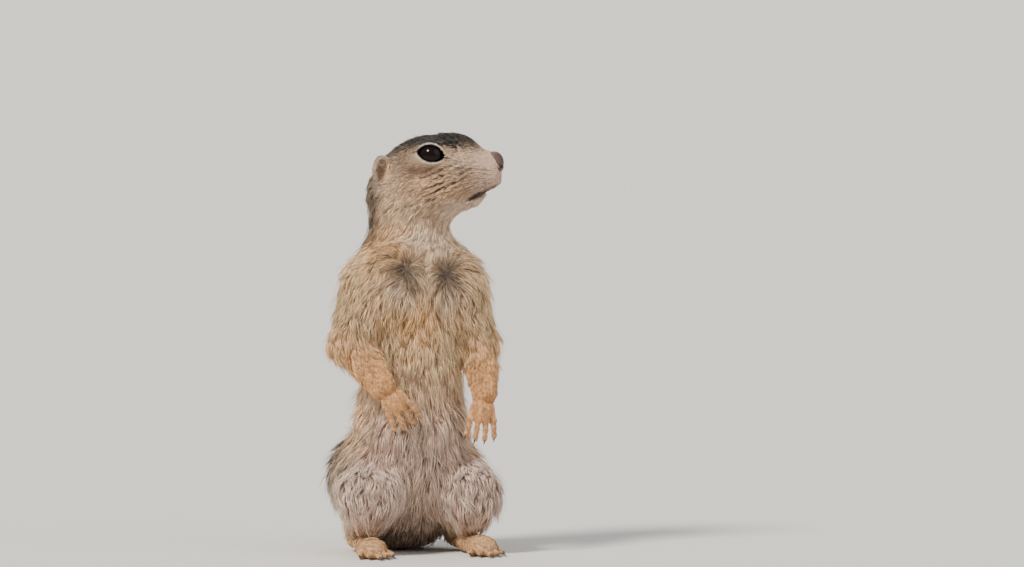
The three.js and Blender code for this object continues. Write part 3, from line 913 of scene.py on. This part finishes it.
def mark_mouth(coat):
    """Dark lip skin with painted shade under the muzzle, softer towards the front, the mouth's line, and
    dark skin round the nose pad.
    """
    f, s, _ = coat.head.T
    side = np.abs(s)
    away, _, sign = from_mouth(coat.head)
    below = away * sign
    lip_and_shade = smoothstep(12.2, 14.2, f) * (coat.on_head > 0.5)
    under_line = smoothstep(-0.3, 0.1, below)
    # Painted shade under the muzzle at its sides
    coat.lay(MUZZLE_UNDERSIDE_SHADE, 0.8 * lip_and_shade * smoothstep(1.8, 3.6, side) * under_line * smoothstep(1.8, 1.0, below))
    lip_and_shade = lip_and_shade * (1 - 0.75 * smoothstep(18.5, 21, f) * smoothstep(3.8, 2.2, side))
    lip_and_shade_high = lerp(0.4, 0.8, smoothstep(1.5, 4, side)) + 1.6 * smoothstep(20.5, 16.5, f)
    # Dark lip skin with painted shade along the muzzle's underside
    coat.lay(LIP_SKIN_AND_SHADE, lip_and_shade * under_line * smoothstep(1, 0.5, below / lip_and_shade_high) * 0.9)
    coat.lay(BARE_DARK, lip_and_shade * smoothstep(0.5, 0.25, away) * 0.9)
    coat.lay(NOSE_DARK, 0.9 * smoothstep(1.05, 0.96, in_ellipsoid(coat.head, NOSE_AT, NOSE_BARE_RADII)))


def mark_ears(coat):
    """A pale rim, and thinly haired skin inside with painted shade in the hollow's slit before a pale fold.
    """
    for _, side in SIDES:
        own = ear_place(coat.head, side)
        within = in_ellipsoid(own, EAR_HOLLOW_AT, EAR_HOLLOW)
        coat.lay(PALE_FACE, 0.6 * hump(within, 1.2, 0.28) * smoothstep(-2, 1, own[:, 1]) * coat.on_head)
        coat.lay(EAR_INSIDE, smoothstep(1.1, 0.85, within) * coat.on_head)
        inside = smoothstep(1.15, 1.0, within) * coat.on_head
        from_slit = own[:, 0] + 0.4 - 0.14 * own[:, 2]
        coat.lay(EAR_PALE, inside * smoothstep(0.5, 1.3, from_slit))
        slit = hump(from_slit, 0, lerp(1.4, 0.8, smoothstep(-3, 3, own[:, 2]))) * hump(own[:, 2], -0.8, 4.2)
        # Painted shade down the ear's slit
        coat.lay(EAR_SLIT_SHADE, np.minimum(1.3 * slit, 1) * inside)


def mark_breast(coat):
    """Orange and pale patches down the neck and breast, and two dark whorls under the throat."""
    x, y, z = coat.points.T
    front = smoothstep(2, -6, y) * coat.off_head
    coat.lay(NECK_ORANGE, 0.75 * hump(z, 112, 9) * hump(x, -9, 9) * front)
    coat.lay(GOLD, 0.6 * hump(z, 88, 9) * hump(x, -3, 8) * front)
    pale = hump(z, 114, 7) * hump(x, -1.5, 5) * front
    coat.lay(NECK_PALE, 0.85 * pale)
    coat.grizzle = coat.grizzle * (1 - pale)
    for whorl in WHORLS:
        aside, above = x - whorl[0], z - whorl[2]
        coat.lay(NECK_PALE, 0.75 * hump(np.hypot(aside, above + 6), 0, 4.5) * front)
        centre = hump(np.hypot(aside, above), 0, 4.2) * front
        coat.lay(WHORL, 0.95 * centre)
        coat.grizzle = coat.grizzle * (1 - centre)


def markings(points, head, weights):
    """The coat's colour at each point, and how strongly it is flecked there."""
    coat = Layers(points, head, weights)
    mark_back(coat)
    crown = mark_crown(coat)
    mark_muzzle(coat, crown)
    mark_cheek(coat)
    mark_eyes(coat)
    mark_mouth(coat)
    mark_ears(coat)
    mark_breast(coat)
    colours = coat.colours * (1 + 0.06 * coat.patch)[:, None].clip(0.75, 1.25)
    return colours.clip(0.002, 0.95), coat.grizzle


# The lie of the coat

LIMB_WAYS = {}
for side, sign in SIDES:
    arm = ARMS[side]
    LIMB_WAYS[f"upper_arm_{side}"] = unit(np.subtract(arm["elbow"], arm["shoulder"]))
    LIMB_WAYS[f"forearm_{side}"] = unit(np.subtract(arm["wrist"], arm["elbow"]))
    LIMB_WAYS[f"hand_{side}"] = unit(arm["reach"])
    LIMB_WAYS[f"thigh_{side}"] = unit([0.12 * sign, -0.45, -0.8])
    LIMB_WAYS[f"shank_{side}"] = unit([0.1 * sign, 0.35, -1])
    LIMB_WAYS[f"foot_{side}"] = np.array([0, -1.0, 0])


def combed(points, head, weights):
    """The direction in which the coat lies at each point, before it is laid on the surface."""
    f, s, u = head.T
    low = smoothstep(-6, -22, u)
    outward = 0.25 * np.sign(s) * smoothstep(0, 6, np.abs(s))
    along_head = np.stack([-np.ones(len(f)), outward, -0.1 - 0.75 * low], 1)
    down = np.zeros((len(points), 3))
    down[:, 0] = 0.010 * points[:, 0]
    down[:, 1] = 0.06
    down[:, 2] = -1
    step = np.clip((points[:, 1] - TAIL[0, 1]) / (TAIL[-1, 1] - TAIL[0, 1]), 0, 1)
    along_tail = np.stack([0.05 + 0.18 * step, np.ones(len(f)), 0.02 - 0.12 * (1 - step)], 1)
    lies = {
        "head": unit(along_head) @ HEAD_AXES,
        "ear": unit([-0.5, 0, 0.85]) @ HEAD_AXES,
        "neck": unit(down + [-0.25, 0.1, 0]),
        "chest": unit(down),
        "belly": unit(down),
        "hips": unit(down + [0, 0.35, 0]),
        "tail": unit(along_tail),
        **LIMB_WAYS,
    }
    ways = np.zeros((len(points), 3))
    for name, way in lies.items():
        ways += weights[NUMBER[name]][:, None] * way
    front = smoothstep(2, -6, points[:, 1])[:, None]
    for whorl in WHORLS:
        off = (points - whorl) * [1, 0, 1]
        pull = 3.0 * hump(np.linalg.norm(off, axis=1), 0, 9.5)
        pull = pull * (weights[NUMBER["chest"]] + weights[NUMBER["neck"]])
        ways += front * pull[:, None] * unit(off)
    return ways


def laid(ways, normals):
    """Directions laid flat on the surface."""
    return unit(ways - (ways * normals).sum(1, keepdims=True) * normals)


# The coat

COAT_SHARE = 0.85  # of the tufts that the densities give
ROOT_DEPTH = 0.12
LIFTED = 0.3  # the lowest that a bend or tip lies over the floor
BENDS = ((0.45, 1.0), (0.55, 0.35))  # each half's share of the length, and of the rise from the skin


def haired(points, head):
    """1 where fur grows, and 0 in the eyes, mouth, nose and ear hollows and on the floor."""
    keep = np.ones(len(points))
    for _, side in SIDES:
        _, _, o, edge = eye_place(head, side)
        keep = keep * np.where((o > 0) & (o < 12), smoothstep(0.35, 0.6, edge), 1)
        within = in_ellipsoid(ear_place(head, side), EAR_HOLLOW_AT, EAR_HOLLOW)
        keep = keep * (0.08 + 0.92 * smoothstep(0.9, 1.05, within))
    away, *_ = from_mouth(head)
    keep = keep * np.where(head[:, 0] > 12, smoothstep(0.3, 0.6, away), 1)
    keep = keep * smoothstep(0.95, 1.1, in_ellipsoid(head, NOSE_AT, NOSE_BARE_RADII))
    return keep * smoothstep(0.3, 1.0, points[:, 2])


def roots_on(skin):
    """Places for tufts, spread over the skin's triangles by the coat's own density."""
    mesh = skin.data
    mesh.calc_loop_triangles()
    corner = np.zeros(len(mesh.loop_triangles) * 3, np.int32)
    mesh.loop_triangles.foreach_get("vertices", corner)
    corner = corner.reshape(-1, 3)
    points = vertices_of(mesh)
    a, b, c = (points[corner[:, i]] for i in range(3))
    area = np.linalg.norm(np.cross(b - a, c - a), axis=1) / 2
    middle = (a + b + c) / 3
    head, found, _ = forms(middle)
    weights = shares(found)
    denser = (1 + 0.9 * (1 / coat_scale(middle, head, weights) - 1)).clip(1, 2.2)
    density = DENSITY @ weights * denser * haired(middle, head)
    wanted = np.cumsum(area * density) * COAT_SHARE
    number = np.diff(np.floor(np.concatenate([[0.0], wanted]) + 0.5)).astype(int)
    face = np.repeat(np.arange(len(corner)), number)
    r1, r2 = draw.random(len(face)), draw.random(len(face))
    flip = r1 + r2 > 1
    r1, r2 = np.where(flip, 1 - r1, r1), np.where(flip, 1 - r2, r2)
    return a[face] + (b - a)[face] * r1[:, None] + (c - a)[face] * r2[:, None]


def clumps_of(roots, density, spacing):
    """The tufts that lead the clumps, and each tuft's clump."""
    chosen = draw.random(len(roots)) < 1 / (density * spacing**2).clip(1.5)
    chosen[0] = True
    leaders = np.flatnonzero(chosen)
    tree = KDTree(len(leaders))
    for i, at in enumerate(roots[leaders]):
        tree.insert(at, i)
    tree.balance()
    return leaders, np.array([tree.find(at)[1] for at in roots])


def tuft_lines(roots, head, weights, normals, length, rise, yaw):
    """Three points along each tuft: under the skin, at the bend and at the tip."""
    line = [roots - normals * ROOT_DEPTH]
    at = roots
    for part, keep in BENDS:
        if at is not roots:
            head, found, _ = forms(at)
            weights = shares(found)
            normals = unit(slope(skin_form, at, 0.2)[1])
        way = turned(laid(combed(at, head, weights), normals), normals, yaw)
        step = way * np.cos(rise * keep)[:, None] + normals * np.sin(rise * keep)[:, None]
        at = at + step * (length * part)[:, None]
        line.append(at)
    return line


def gather(line, roots, lead, loose):
    """Pulls the tufts towards the line of their clump's leader, and keeps them off the floor."""
    near = np.linalg.norm(roots - roots[lead], axis=1) < 3.2
    for ring, pull in ((1, 0.25), (2, 0.58)):
        target = line[ring][lead] + 0.35 * (roots - roots[lead])
        line[ring] = lerp(line[ring], target, (pull * near * ~loose)[:, None])
    for ring, lowest in ((0, 0.25), (1, LIFTED), (2, LIFTED)):
        line[ring][:, 2] = np.maximum(line[ring][:, 2], lowest)


def tuft_colours(roots, head, weights, scale, length, clump, clumps, guard):
    """Each tuft's colour at its root, bend and tip, with the markings' edges broken up."""
    count = len(roots)
    stray = 0.9 * smoothstep(0.5, 0.95, scale) * smoothstep(0.25, 1, length / 3)
    on_cheek = smoothstep(1, -4, head[:, 2]) * smoothstep(-13, -9, head[:, 0])
    stray = stray * lerp(1.0, 0.12, on_cheek)
    stray = draw.normal(0, 1, (count, 3)) * stray[:, None]
    tint, grizzle = markings(roots + stray, head + stray @ HEAD_AXES.T, weights)
    tint = tint * draw.normal(1, 0.08, clumps)[clump][:, None]
    tint = tint * draw.normal(1, 0.14, count).clip(0.6, 1.4)[:, None]
    fleck = draw.random(count)
    dark = (fleck < 0.34 * grizzle)[:, None]
    pale = (fleck > 1 - 0.45 * grizzle)[:, None] | (guard[:, None] & ~dark)
    tip = np.where(dark, tint * 0.3, np.where(pale, np.minimum(tint * 1.4 + 0.1, 0.9), tint * 1.15))
    middle = np.where(dark, tint * 0.6, np.where(pale, tint * 1.1, tint * 0.95))
    # Darker roots: grey underfur in long fur, and painted shade deep in the coat
    under = lerp(tint * 0.8, tint * 0.5 + UNDERFUR_AND_SHADE * 0.25, smoothstep(1.5, 5.0, length)[:, None])
    return [under, middle, tip]


def make_tufts(roots):
    """Each tuft's line of three points, its width, colours and region."""
    count = len(roots)
    head, found, _ = forms(roots)
    weights = shares(found)
    normals = unit(slope(skin_form, roots)[1])
    _, length, width, lift, density, spacing, _ = COAT_TABLE.T @ weights
    scale = coat_scale(roots, head, weights)
    length = length * scale * draw.uniform(0.78, 1.2, count)
    width = width * (0.35 + 0.65 * scale) * draw.uniform(0.8, 1.2, count)
    leaders, clump = clumps_of(roots, density, spacing * (0.5 + 0.5 * scale))
    clumps = len(leaders)
    yaw = draw.normal(0, 0.2, clumps)[clump] + draw.normal(0, 0.14, count)
    rise = np.radians(lift) * draw.normal(1, 0.16, clumps).clip(0.5, 1.5)[clump]
    rise = rise * draw.uniform(0.75, 1.3, count)
    length = length * draw.normal(1, 0.08, clumps).clip(0.7, 1.3)[clump]
    guard = draw.random(count) < 0.16 * smoothstep(1.6, 3.5, length)
    length = np.where(guard, length * 1.3, length)
    width = np.where(guard, width * 0.6, width)
    rise = np.where(guard, rise * 1.35, rise)
    line = tuft_lines(roots, head, weights, normals, length, rise, yaw)
    gather(line, roots, leaders[clump], guard)
    return {
        "line": line,
        "width": width,
        "colours": tuft_colours(roots, head, weights, scale, length, clump, clumps, guard),
        "region": weights.argmax(0),
        "normals": normals,
        "roots": roots,
    }


HEAD_LINE = from_head([[-28, 0, -9], [30, 0, -9]])
# Each coat piece: its slot, its regions, the half of them that it covers, and the line that it is
# unwrapped round
PIECES = {
    "coat_head_left": ("grizzled_coat", ["head", "ear"], "left", *HEAD_LINE),
    "coat_head_right": ("grizzled_coat", ["head", "ear"], "right", *HEAD_LINE),
    "coat_neck": ("grizzled_coat", ["neck"], "all", [0, 0, 98], [0, 0, 134]),
    "coat_breast": ("buff_coat", ["chest"], "front", [0, 2, 55], [0, 2, 118]),
    "coat_shoulders": ("grizzled_coat", ["chest"], "rear", [0, -2, 55], [0, -2, 118]),
    "coat_belly": ("pale_coat", ["belly"], "front", [0, 6, 5], [0, 6, 75]),
    "coat_loins": ("grizzled_coat", ["belly"], "rear", [0, 2, 5], [0, 2, 75]),
    "coat_rump": ("grizzled_coat", ["hips"], "all", [0, 12, 0], [0, 12, 55]),
    "coat_tail": ("grizzled_coat", ["tail"], "all", [0, 20, 6], [10, 100, 3]),
    "coat_arm_left": ("orange_coat", sided(ARM_PARTS, "left"), "all", [20, -3, 112], [23, -14, 38]),
    "coat_arm_right": ("orange_coat", sided(ARM_PARTS, "right"), "all", [-20, -3, 112], [-18, -14, 38]),
    "coat_leg_left": ("buff_coat", sided(LEG_PARTS, "left"), "all", [17, 30, 18], [19, -36, 10]),
    "coat_leg_right": ("buff_coat", sided(LEG_PARTS, "right"), "all", [-17, 30, 18], [-19, -36, 10]),
}
UV_TUFT = 0.003  # the width that one tuft takes on the unwrap
SPIKE_SIDES = [(0, 2, 1), (0, 1, 4), (0, 4, 3), (1, 2, 5), (1, 5, 4), (2, 0, 3), (2, 3, 5)]
SPIKE_TIP = [(3, 4, 6), (4, 5, 6), (5, 3, 6)]
SPIKE_UV = np.array([[-1, -1], [1, -1], [0, -1], [-1, 0], [1, 0], [0, 0], [0, 1]]) * UV_TUFT / 2


def in_half(roots, half):
    """Whether each root lies in the half of the head or trunk that a piece covers."""
    across = into_head(roots)[:, 1]
    rearward = roots[:, 1]
    halves = {"left": across >= 0, "right": across < 0, "front": rearward <= 2, "rear": rearward > 2}
    return halves.get(half, True)


def unwrapped(roots, start, end):
    """Each root's place on an unwrap of the skin round a line."""
    start = np.asarray(start, float)
    along = unit(np.asarray(end, float) - start)
    one = unit(np.cross(along, [0.31, 0.77, 0.2]))
    two = np.cross(along, one)
    off = roots - start
    height = off @ along
    turn = np.arctan2(off @ one, off @ two)
    order = np.sort(turn)
    gaps = np.diff(np.concatenate([order, [order[0] + 2 * math.pi]]))
    seam = order[(gaps.argmax() + 1) % len(order)]
    turn = (turn - seam) % (2 * math.pi)
    u = turn / max(turn.max(), 1e-6)
    v = (height - height.min()) / max(np.ptp(height), 1e-6)
    edge = 2 * UV_TUFT
    return edge + (1 - 2 * edge) * np.stack([u, v], 1)


def tuft_mesh(name, tufts, chosen, start, end):
    """Closed three-sided spikes, each with a ring at its root and its bend, and a tip."""
    line = [ring[chosen] for ring in tufts["line"]]
    width = tufts["width"][chosen]
    way = unit(line[2] - line[0])
    wide = unit(np.cross(way, tufts["normals"][chosen]))
    up = np.cross(wide, way)
    rings = []
    for at, share in ((line[0], 0.8), (line[1], 1.0)):
        half = (width * share / 2)[:, None]
        below = at - up * half * 0.3
        rings += [below - wide * half, below + wide * half, at + up * half * 0.7]
    vertices = np.stack([*rings, line[2]], 1).reshape(-1, 3)
    pattern = np.array(SPIKE_SIDES + SPIKE_TIP)
    faces = (np.arange(len(width))[:, None, None] * 7 + pattern).reshape(-1, 3)
    piece = mesh_object(name, vertices, faces)
    under, middle, tip = (c[chosen] for c in tufts["colours"])
    paint(piece.data, np.stack([under, under, under, middle, middle, middle, tip], 1).reshape(-1, 3))
    place = unwrapped(tufts["roots"][chosen], start, end)
    corners = (place[:, None, :] + SPIKE_UV).reshape(-1, 2)
    layer = piece.data.uv_layers.new(name="OFBake")
    layer.data.foreach_set("uv", corners[faces.ravel()].astype(np.float32).ravel())
    return piece


def make_coat(tufts):
    pieces = []
    for name, (slot, regions, half, start, end) in PIECES.items():
        chosen = np.isin(tufts["region"], [NUMBER[region] for region in regions])
        chosen &= in_half(tufts["roots"], half)
        if chosen.any():
            pieces.append((tuft_mesh(name, tufts, chosen, start, end), slot))
    return pieces


# Tubes for claws and whiskers

CLAW_GIRTH = np.array([0.55, 0.78, 0.74, 0.62, 0.46, 0.28, 0.1, 0.0])
CLAW_FLAT = 0.8
WHISKER_ROWS = 5
WHISKERS_IN_ROW = 4
WHISKER_GIRTH = np.linspace(0.085, 0.02, 7)
WHISKER_SAG = np.array([0, 0, -0.12])


def tube_mesh(name, tubes, around):
    """Joined closed tubes, each a list of points with a radius for each, that end in a point."""
    vertices, faces = [], []
    for path, radii, side in tubes:
        first = len(vertices)
        for i, at in enumerate(path[:-1]):
            way = unit(path[i + 1] - path[max(i - 1, 0)])
            wide = unit(side - (side @ way) * way)
            thick = np.cross(way, wide)
            for k in range(around):
                angle = 2 * math.pi * k / around
                off = math.cos(angle) * wide * CLAW_FLAT + math.sin(angle) * thick
                vertices.append(at + radii[i] * off)
        vertices += [path[-1], path[0]]
        tip, end = len(vertices) - 2, len(vertices) - 1
        last = tip - around
        for k in range(around):
            after = (k + 1) % around
            for ring in range(first, last, around):
                a, b = ring + k, ring + after
                faces += [(a, b, b + around), (a, b + around, a + around)]
            faces += [(last + k, last + after, tip), (first + after, first + k, end)]
    return mesh_object(name, np.array(vertices), faces)


def curved(points, parts):
    """Points along a smooth curve through the given ones."""
    points = np.asarray(points, float)
    made = []
    for t in np.linspace(0, len(points) - 1, parts):
        i = min(int(t), len(points) - 2)
        k = t - i
        start, end = points[i], points[i + 1]
        before, after = points[max(i - 1, 0)], points[min(i + 2, len(points) - 1)]
        straight = 2 * start + (end - before) * k
        bend = (2 * before - 5 * start + 4 * end - after) * k**2
        made.append((straight + bend + (3 * start - before - 3 * end + after) * k**3) / 2)
    return made


def claws_of(name, digits, side, radius):
    side = np.asarray(side, float)
    paths = [curved(made["claw"], len(CLAW_GIRTH)) for made in digits]
    return tube_mesh(name, [(path, CLAW_GIRTH * radius, side) for path in paths], 8)


def whisker_tubes():
    steps = np.linspace(-0.03, 1, len(WHISKER_GIRTH))
    tubes = []
    for _, sign in SIDES:
        for row in range(WHISKER_ROWS):
            for column in range(WHISKERS_IN_ROW):
                out_from_middle = 5.2 + 0.45 * column
                root = [21.5 - 2.0 * column, sign * out_from_middle, -5.6 - 1.35 * row + 0.2 * column]
                length = 8.5 + 2.6 * column + draw.uniform(-1.5, 1.5)
                out = unit([-0.75 - 0.1 * column, sign * 0.62, 0.1 - 0.1 * row + draw.normal(0, 0.05)])
                start = settle(skin_form, from_head(root)[None], 4, 2.0)[0]
                way = out @ HEAD_AXES
                path = [start + way * length * t + WHISKER_SAG * length * t * t for t in steps]
                tubes.append((path, WHISKER_GIRTH, np.array([0.1, 0.2, 1.0])))
    return tubes


# Eyes and nose

NOSE_WING = ([22.7, 1.8, -4.3], [2.0, 1.9, 2.2])
NOSTRIL_PATH = np.array([[25.2, 1.2, -4.0], [23.6, 2.8, -4.2], [22.6, 3.6, -3.0]])
NOSTRIL_RADII = [0.6, 0.5, 0.3]
NOSE_BOX = np.array([[18, -4.5, -8.6], [26, -4.5, -8.6], [18, 4.5, 1], [26, 4.5, 1]])
NOSE_CELL = 0.22


def make_eye(name, side):
    mesh = bpy.data.meshes.new(name)
    work = bmesh.new()
    bmesh.ops.create_uvsphere(work, u_segments=48, v_segments=32, radius=EYE_RADIUS * MM)
    for face in work.faces:
        face.smooth = True
    work.to_mesh(mesh)
    work.free()
    eye = linked(bpy.data.objects.new(name, mesh))
    eye.location = (from_head(EYE_AT * [1, side, 1]) - SEAT) * MM
    return eye


def nostril_form(head):
    return chain(one_sided(head), NOSTRIL_PATH, NOSTRIL_RADII, 0.4)


def nose_form(points):
    """The nose pad, with comma-shaped nostrils and a shallow groove between them."""
    head = into_head(points)
    pad = blend(1.2, ball(head, NOSE_AT, NOSE_RADII), ball(one_sided(head), *NOSE_WING))
    groove = 0.3 * hump(head[:, 1], 0, 0.28) * smoothstep(-1, -3, head[:, 2])
    return cut(0.4, pad, nostril_form(head)) + groove


def make_nose():
    corners = from_head(NOSE_BOX)
    box = np.array([corners.min(0) - 0.6, corners.max(0) + 0.6])
    values, low = sample_grid(nose_form, box, NOSE_CELL, BLOCK, 0.4)
    vertices, quads = surface_net(values, low, NOSE_CELL)
    vertices = settle(nose_form, vertices, 3, 0.2)
    nose = mesh_object("nose_pad", vertices, quads)
    head = into_head(vertices)
    # The pad darkens towards its underside: painted shade
    under = smoothstep(-2.6, -5.2, head[:, 2])
    colours = mixed(np.tile(NOSE_SKIN, (len(head), 1)), NOSE_DARK, 0.7 * under)
    # Painted shade in and round the nostrils
    paint(nose.data, mixed(colours, NOSTRIL_SHADE, smoothstep(0.35, 0.0, nostril_form(head))))
    return nose


# Materials


class Value:
    """One output in a shader. Arithmetic on it adds the Math nodes."""

    def __init__(self, tree, socket):
        self.tree = tree
        self.socket = socket

    def maths(self, operation, first, second=None):
        node = self.tree.nodes.new("ShaderNodeMath")
        node.operation = operation
        for i, value in enumerate((first, second)):
            if value is None:
                continue
            if isinstance(value, Value):
                self.tree.links.new(value.socket, node.inputs[i])
            else:
                node.inputs[i].default_value = value
        return Value(self.tree, node.outputs[0])

    def __add__(self, other):
        return self.maths("ADD", self, other)

    def __mul__(self, other):
        return self.maths("MULTIPLY", self, other)

    __radd__ = __add__
    __rmul__ = __mul__


class Finish:
    """A material with one Principled shader, and short ways to add nodes to it."""

    def __init__(self, name, colour, roughness, **sockets):
        self.material = bpy.data.materials.new(name)
        self.material.use_nodes = True
        self.tree = self.material.node_tree
        self.shader = self.tree.nodes["Principled BSDF"]
        self.put("Base Color", (*colour, 1))
        self.put("Roughness", roughness)
        for socket, value in sockets.items():
            self.put(socket.replace("_", " "), value)

    def put(self, socket, value):
        if isinstance(value, Value):
            self.tree.links.new(value.socket, self.shader.inputs[socket])
        else:
            self.shader.inputs[socket].default_value = value

    def node(self, kind, settings, output, **inputs):
        made = self.tree.nodes.new(kind)
        for key, value in settings.items():
            setattr(made, key, value)
        for key, value in inputs.items():
            socket = made.inputs[int(key[1:])] if key[1:].isdigit() else made.inputs[key.replace("_", " ")]
            if isinstance(value, Value):
                self.tree.links.new(value.socket, socket)
            else:
                socket.default_value = value
        return Value(self.tree, made.outputs[output])

    def noise(self, scale, detail=2.0):
        place = self.node("ShaderNodeTexCoord", {}, "Object")
        return self.node("ShaderNodeTexNoise", {}, 0, Vector=place, Scale=scale, Detail=detail)

    def bump(self, height, distance, strength):
        normal = self.node("ShaderNodeBump", {}, 0, Height=height, Distance=distance, Strength=strength)
        self.put("Normal", normal)

    def uneven(self, colour, noise, amount):
        """The base colour made lighter and darker by a noise, by as much as amount in all."""
        shade = noise * amount + (1 - amount / 2)
        scaled = self.node("ShaderNodeVectorMath", {"operation": "SCALE"}, 0, _0=colour, Scale=shade)
        self.put("Base Color", scaled)


def coat_finish(name, roughness, noise_scale, amount):
    finish = Finish(name, linear(180, 150, 120), roughness)
    tint = finish.node("ShaderNodeAttribute", {"attribute_name": "coat_tint"}, "Color")
    finish.uneven(tint, finish.noise(noise_scale), amount)
    return finish


def plain_finish(name, colour, roughness, noise_scale, amount, detail=4.0, **sockets):
    finish = Finish(name, linear(*colour), roughness, **sockets)
    finish.uneven(tuple(linear(*colour)), finish.noise(noise_scale, detail), amount)
    return finish


# Building

skin = make_skin()
tufts = make_tufts(roots_on(skin))
coat = make_coat(tufts)

skin_points = vertices_of(skin.data)
skin_head, skin_found, _ = forms(skin_points)
skin_colours, _ = markings(skin_points, skin_head, shares(skin_found))
furred = haired(skin_points, skin_head)[:, None]
# Where fur grows the skin is painted darker, as shade beneath the coat
paint(skin.data, lerp(skin_colours, skin_colours * 0.72, furred))

skin_finish = coat_finish("skin_markings", 0.75, 900, 0.5)
skin_finish.bump(skin_finish.noise(2600, 3.0), 0.0003, 0.5)
fur_finish = coat_finish("fur", 0.62, 2500, 0.3)
claw_finish = plain_finish("claw", (64, 52, 44), 0.38, 1500, 0.5)
whisker_finish = plain_finish("whisker", (40, 32, 28), 0.45, 900, 0.3)
nose_finish = coat_finish("nose", 0.42, 2600, 0.3)
nose_finish.bump(nose_finish.noise(2600, 4.0), 0.00012, 0.6)
eye_finish = plain_finish("eye_gloss", (18, 9, 7), 0.05, 900, 0.5, 2.0, Specular_IOR_Level=0.16)

FLESH = [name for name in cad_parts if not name.startswith(("eye_", "claw_", "nose"))]


def finished(piece, finish, nodes=()):
    piece.data.materials.append(finish.material)
    if nodes:
        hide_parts(*nodes)
    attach(piece, "root")


finished(skin, skin_finish, FLESH)
for piece, slot in coat:
    finished(piece, fur_finish)
finished(make_nose(), nose_finish, ["nose"])
for side, sign in SIDES:
    finished(make_eye(f"eyeball_{side}", sign), eye_finish, [f"eye_{side}"])
    digits, across = HANDS[side]
    names = [f"claw_hand_{side}_{i + 1}" for i in range(FINGERS)]
    finished(claws_of(f"claws_hand_{side}", digits, across, 1.0), claw_finish, names)
    names = [f"claw_foot_{side}_{i + 1}" for i in range(TOES)]
    finished(claws_of(f"claws_foot_{side}", FEET[side], [1, 0, 0], 1.1), claw_finish, names)
finished(tube_mesh("whiskers", whisker_tubes(), 4), whisker_finish)

# Floor, lights and camera

PHOTO_PIXELS = 1024
MM_IN_PIXEL = 0.36
PHOTO_WIDTH = PHOTO_PIXELS * MM_IN_PIXEL * MM
CAMERA_FAR = 6.0
SENSOR = 36.0
TARGET = np.array([0.0341, -0.0231, 0.097])
AZIMUTH = math.radians(-15)
RISE = math.radians(4)
FLOOR_DROP = 0.0002
FLOOR_RADIUS = 30

bpy.ops.mesh.primitive_circle_add(
    vertices=64, radius=FLOOR_RADIUS, fill_type="NGON", location=(0, 0, -FLOOR_DROP)
)
floor = bpy.context.active_object
floor.name = "floor"
floor_finish = Finish("floor_paper", linear(214, 210, 204), 0.9)
floor.data.materials.append(floor_finish.material)


def add_sun(name, azimuth, elevation, strength, spread, colour):
    """A light at infinity that comes from a direction given in degrees, round from the front."""
    light = bpy.data.lights.new(name, "SUN")
    light.energy = strength
    light.angle = math.radians(spread)
    light.color = colour
    lamp = linked(bpy.data.objects.new(name, light))
    lamp.rotation_euler = (math.pi / 2 - math.radians(elevation), 0, math.radians(azimuth))


add_sun("key", -58, 46, 4.7, 14, (1.0, 0.96, 0.9))
add_sun("fill", 40, 30, 0.7, 50, (0.94, 0.97, 1.0))
add_sun("back", 170, 55, 0.8, 40, (1.0, 0.98, 0.95))

world = bpy.data.worlds.new("studio")
bpy.context.scene.world = world
world.use_nodes = True
background = world.node_tree.nodes["Background"]
background.inputs["Color"].default_value = (0.95, 0.97, 1.0, 1)
background.inputs["Strength"].default_value = 0.5

camera_data = bpy.data.cameras.new("camera")
camera_data.sensor_width = SENSOR
camera_data.lens = SENSOR * CAMERA_FAR / PHOTO_WIDTH
camera_data.clip_end = 100
camera = linked(bpy.data.objects.new("camera", camera_data))
level = math.cos(RISE)
toward = np.array([math.sin(AZIMUTH) * level, -math.cos(AZIMUTH) * level, math.sin(RISE)])
camera.location = TARGET + toward * CAMERA_FAR
camera.rotation_euler = (math.pi / 2 - RISE, 0, AZIMUTH)
bpy.context.scene.camera = camera
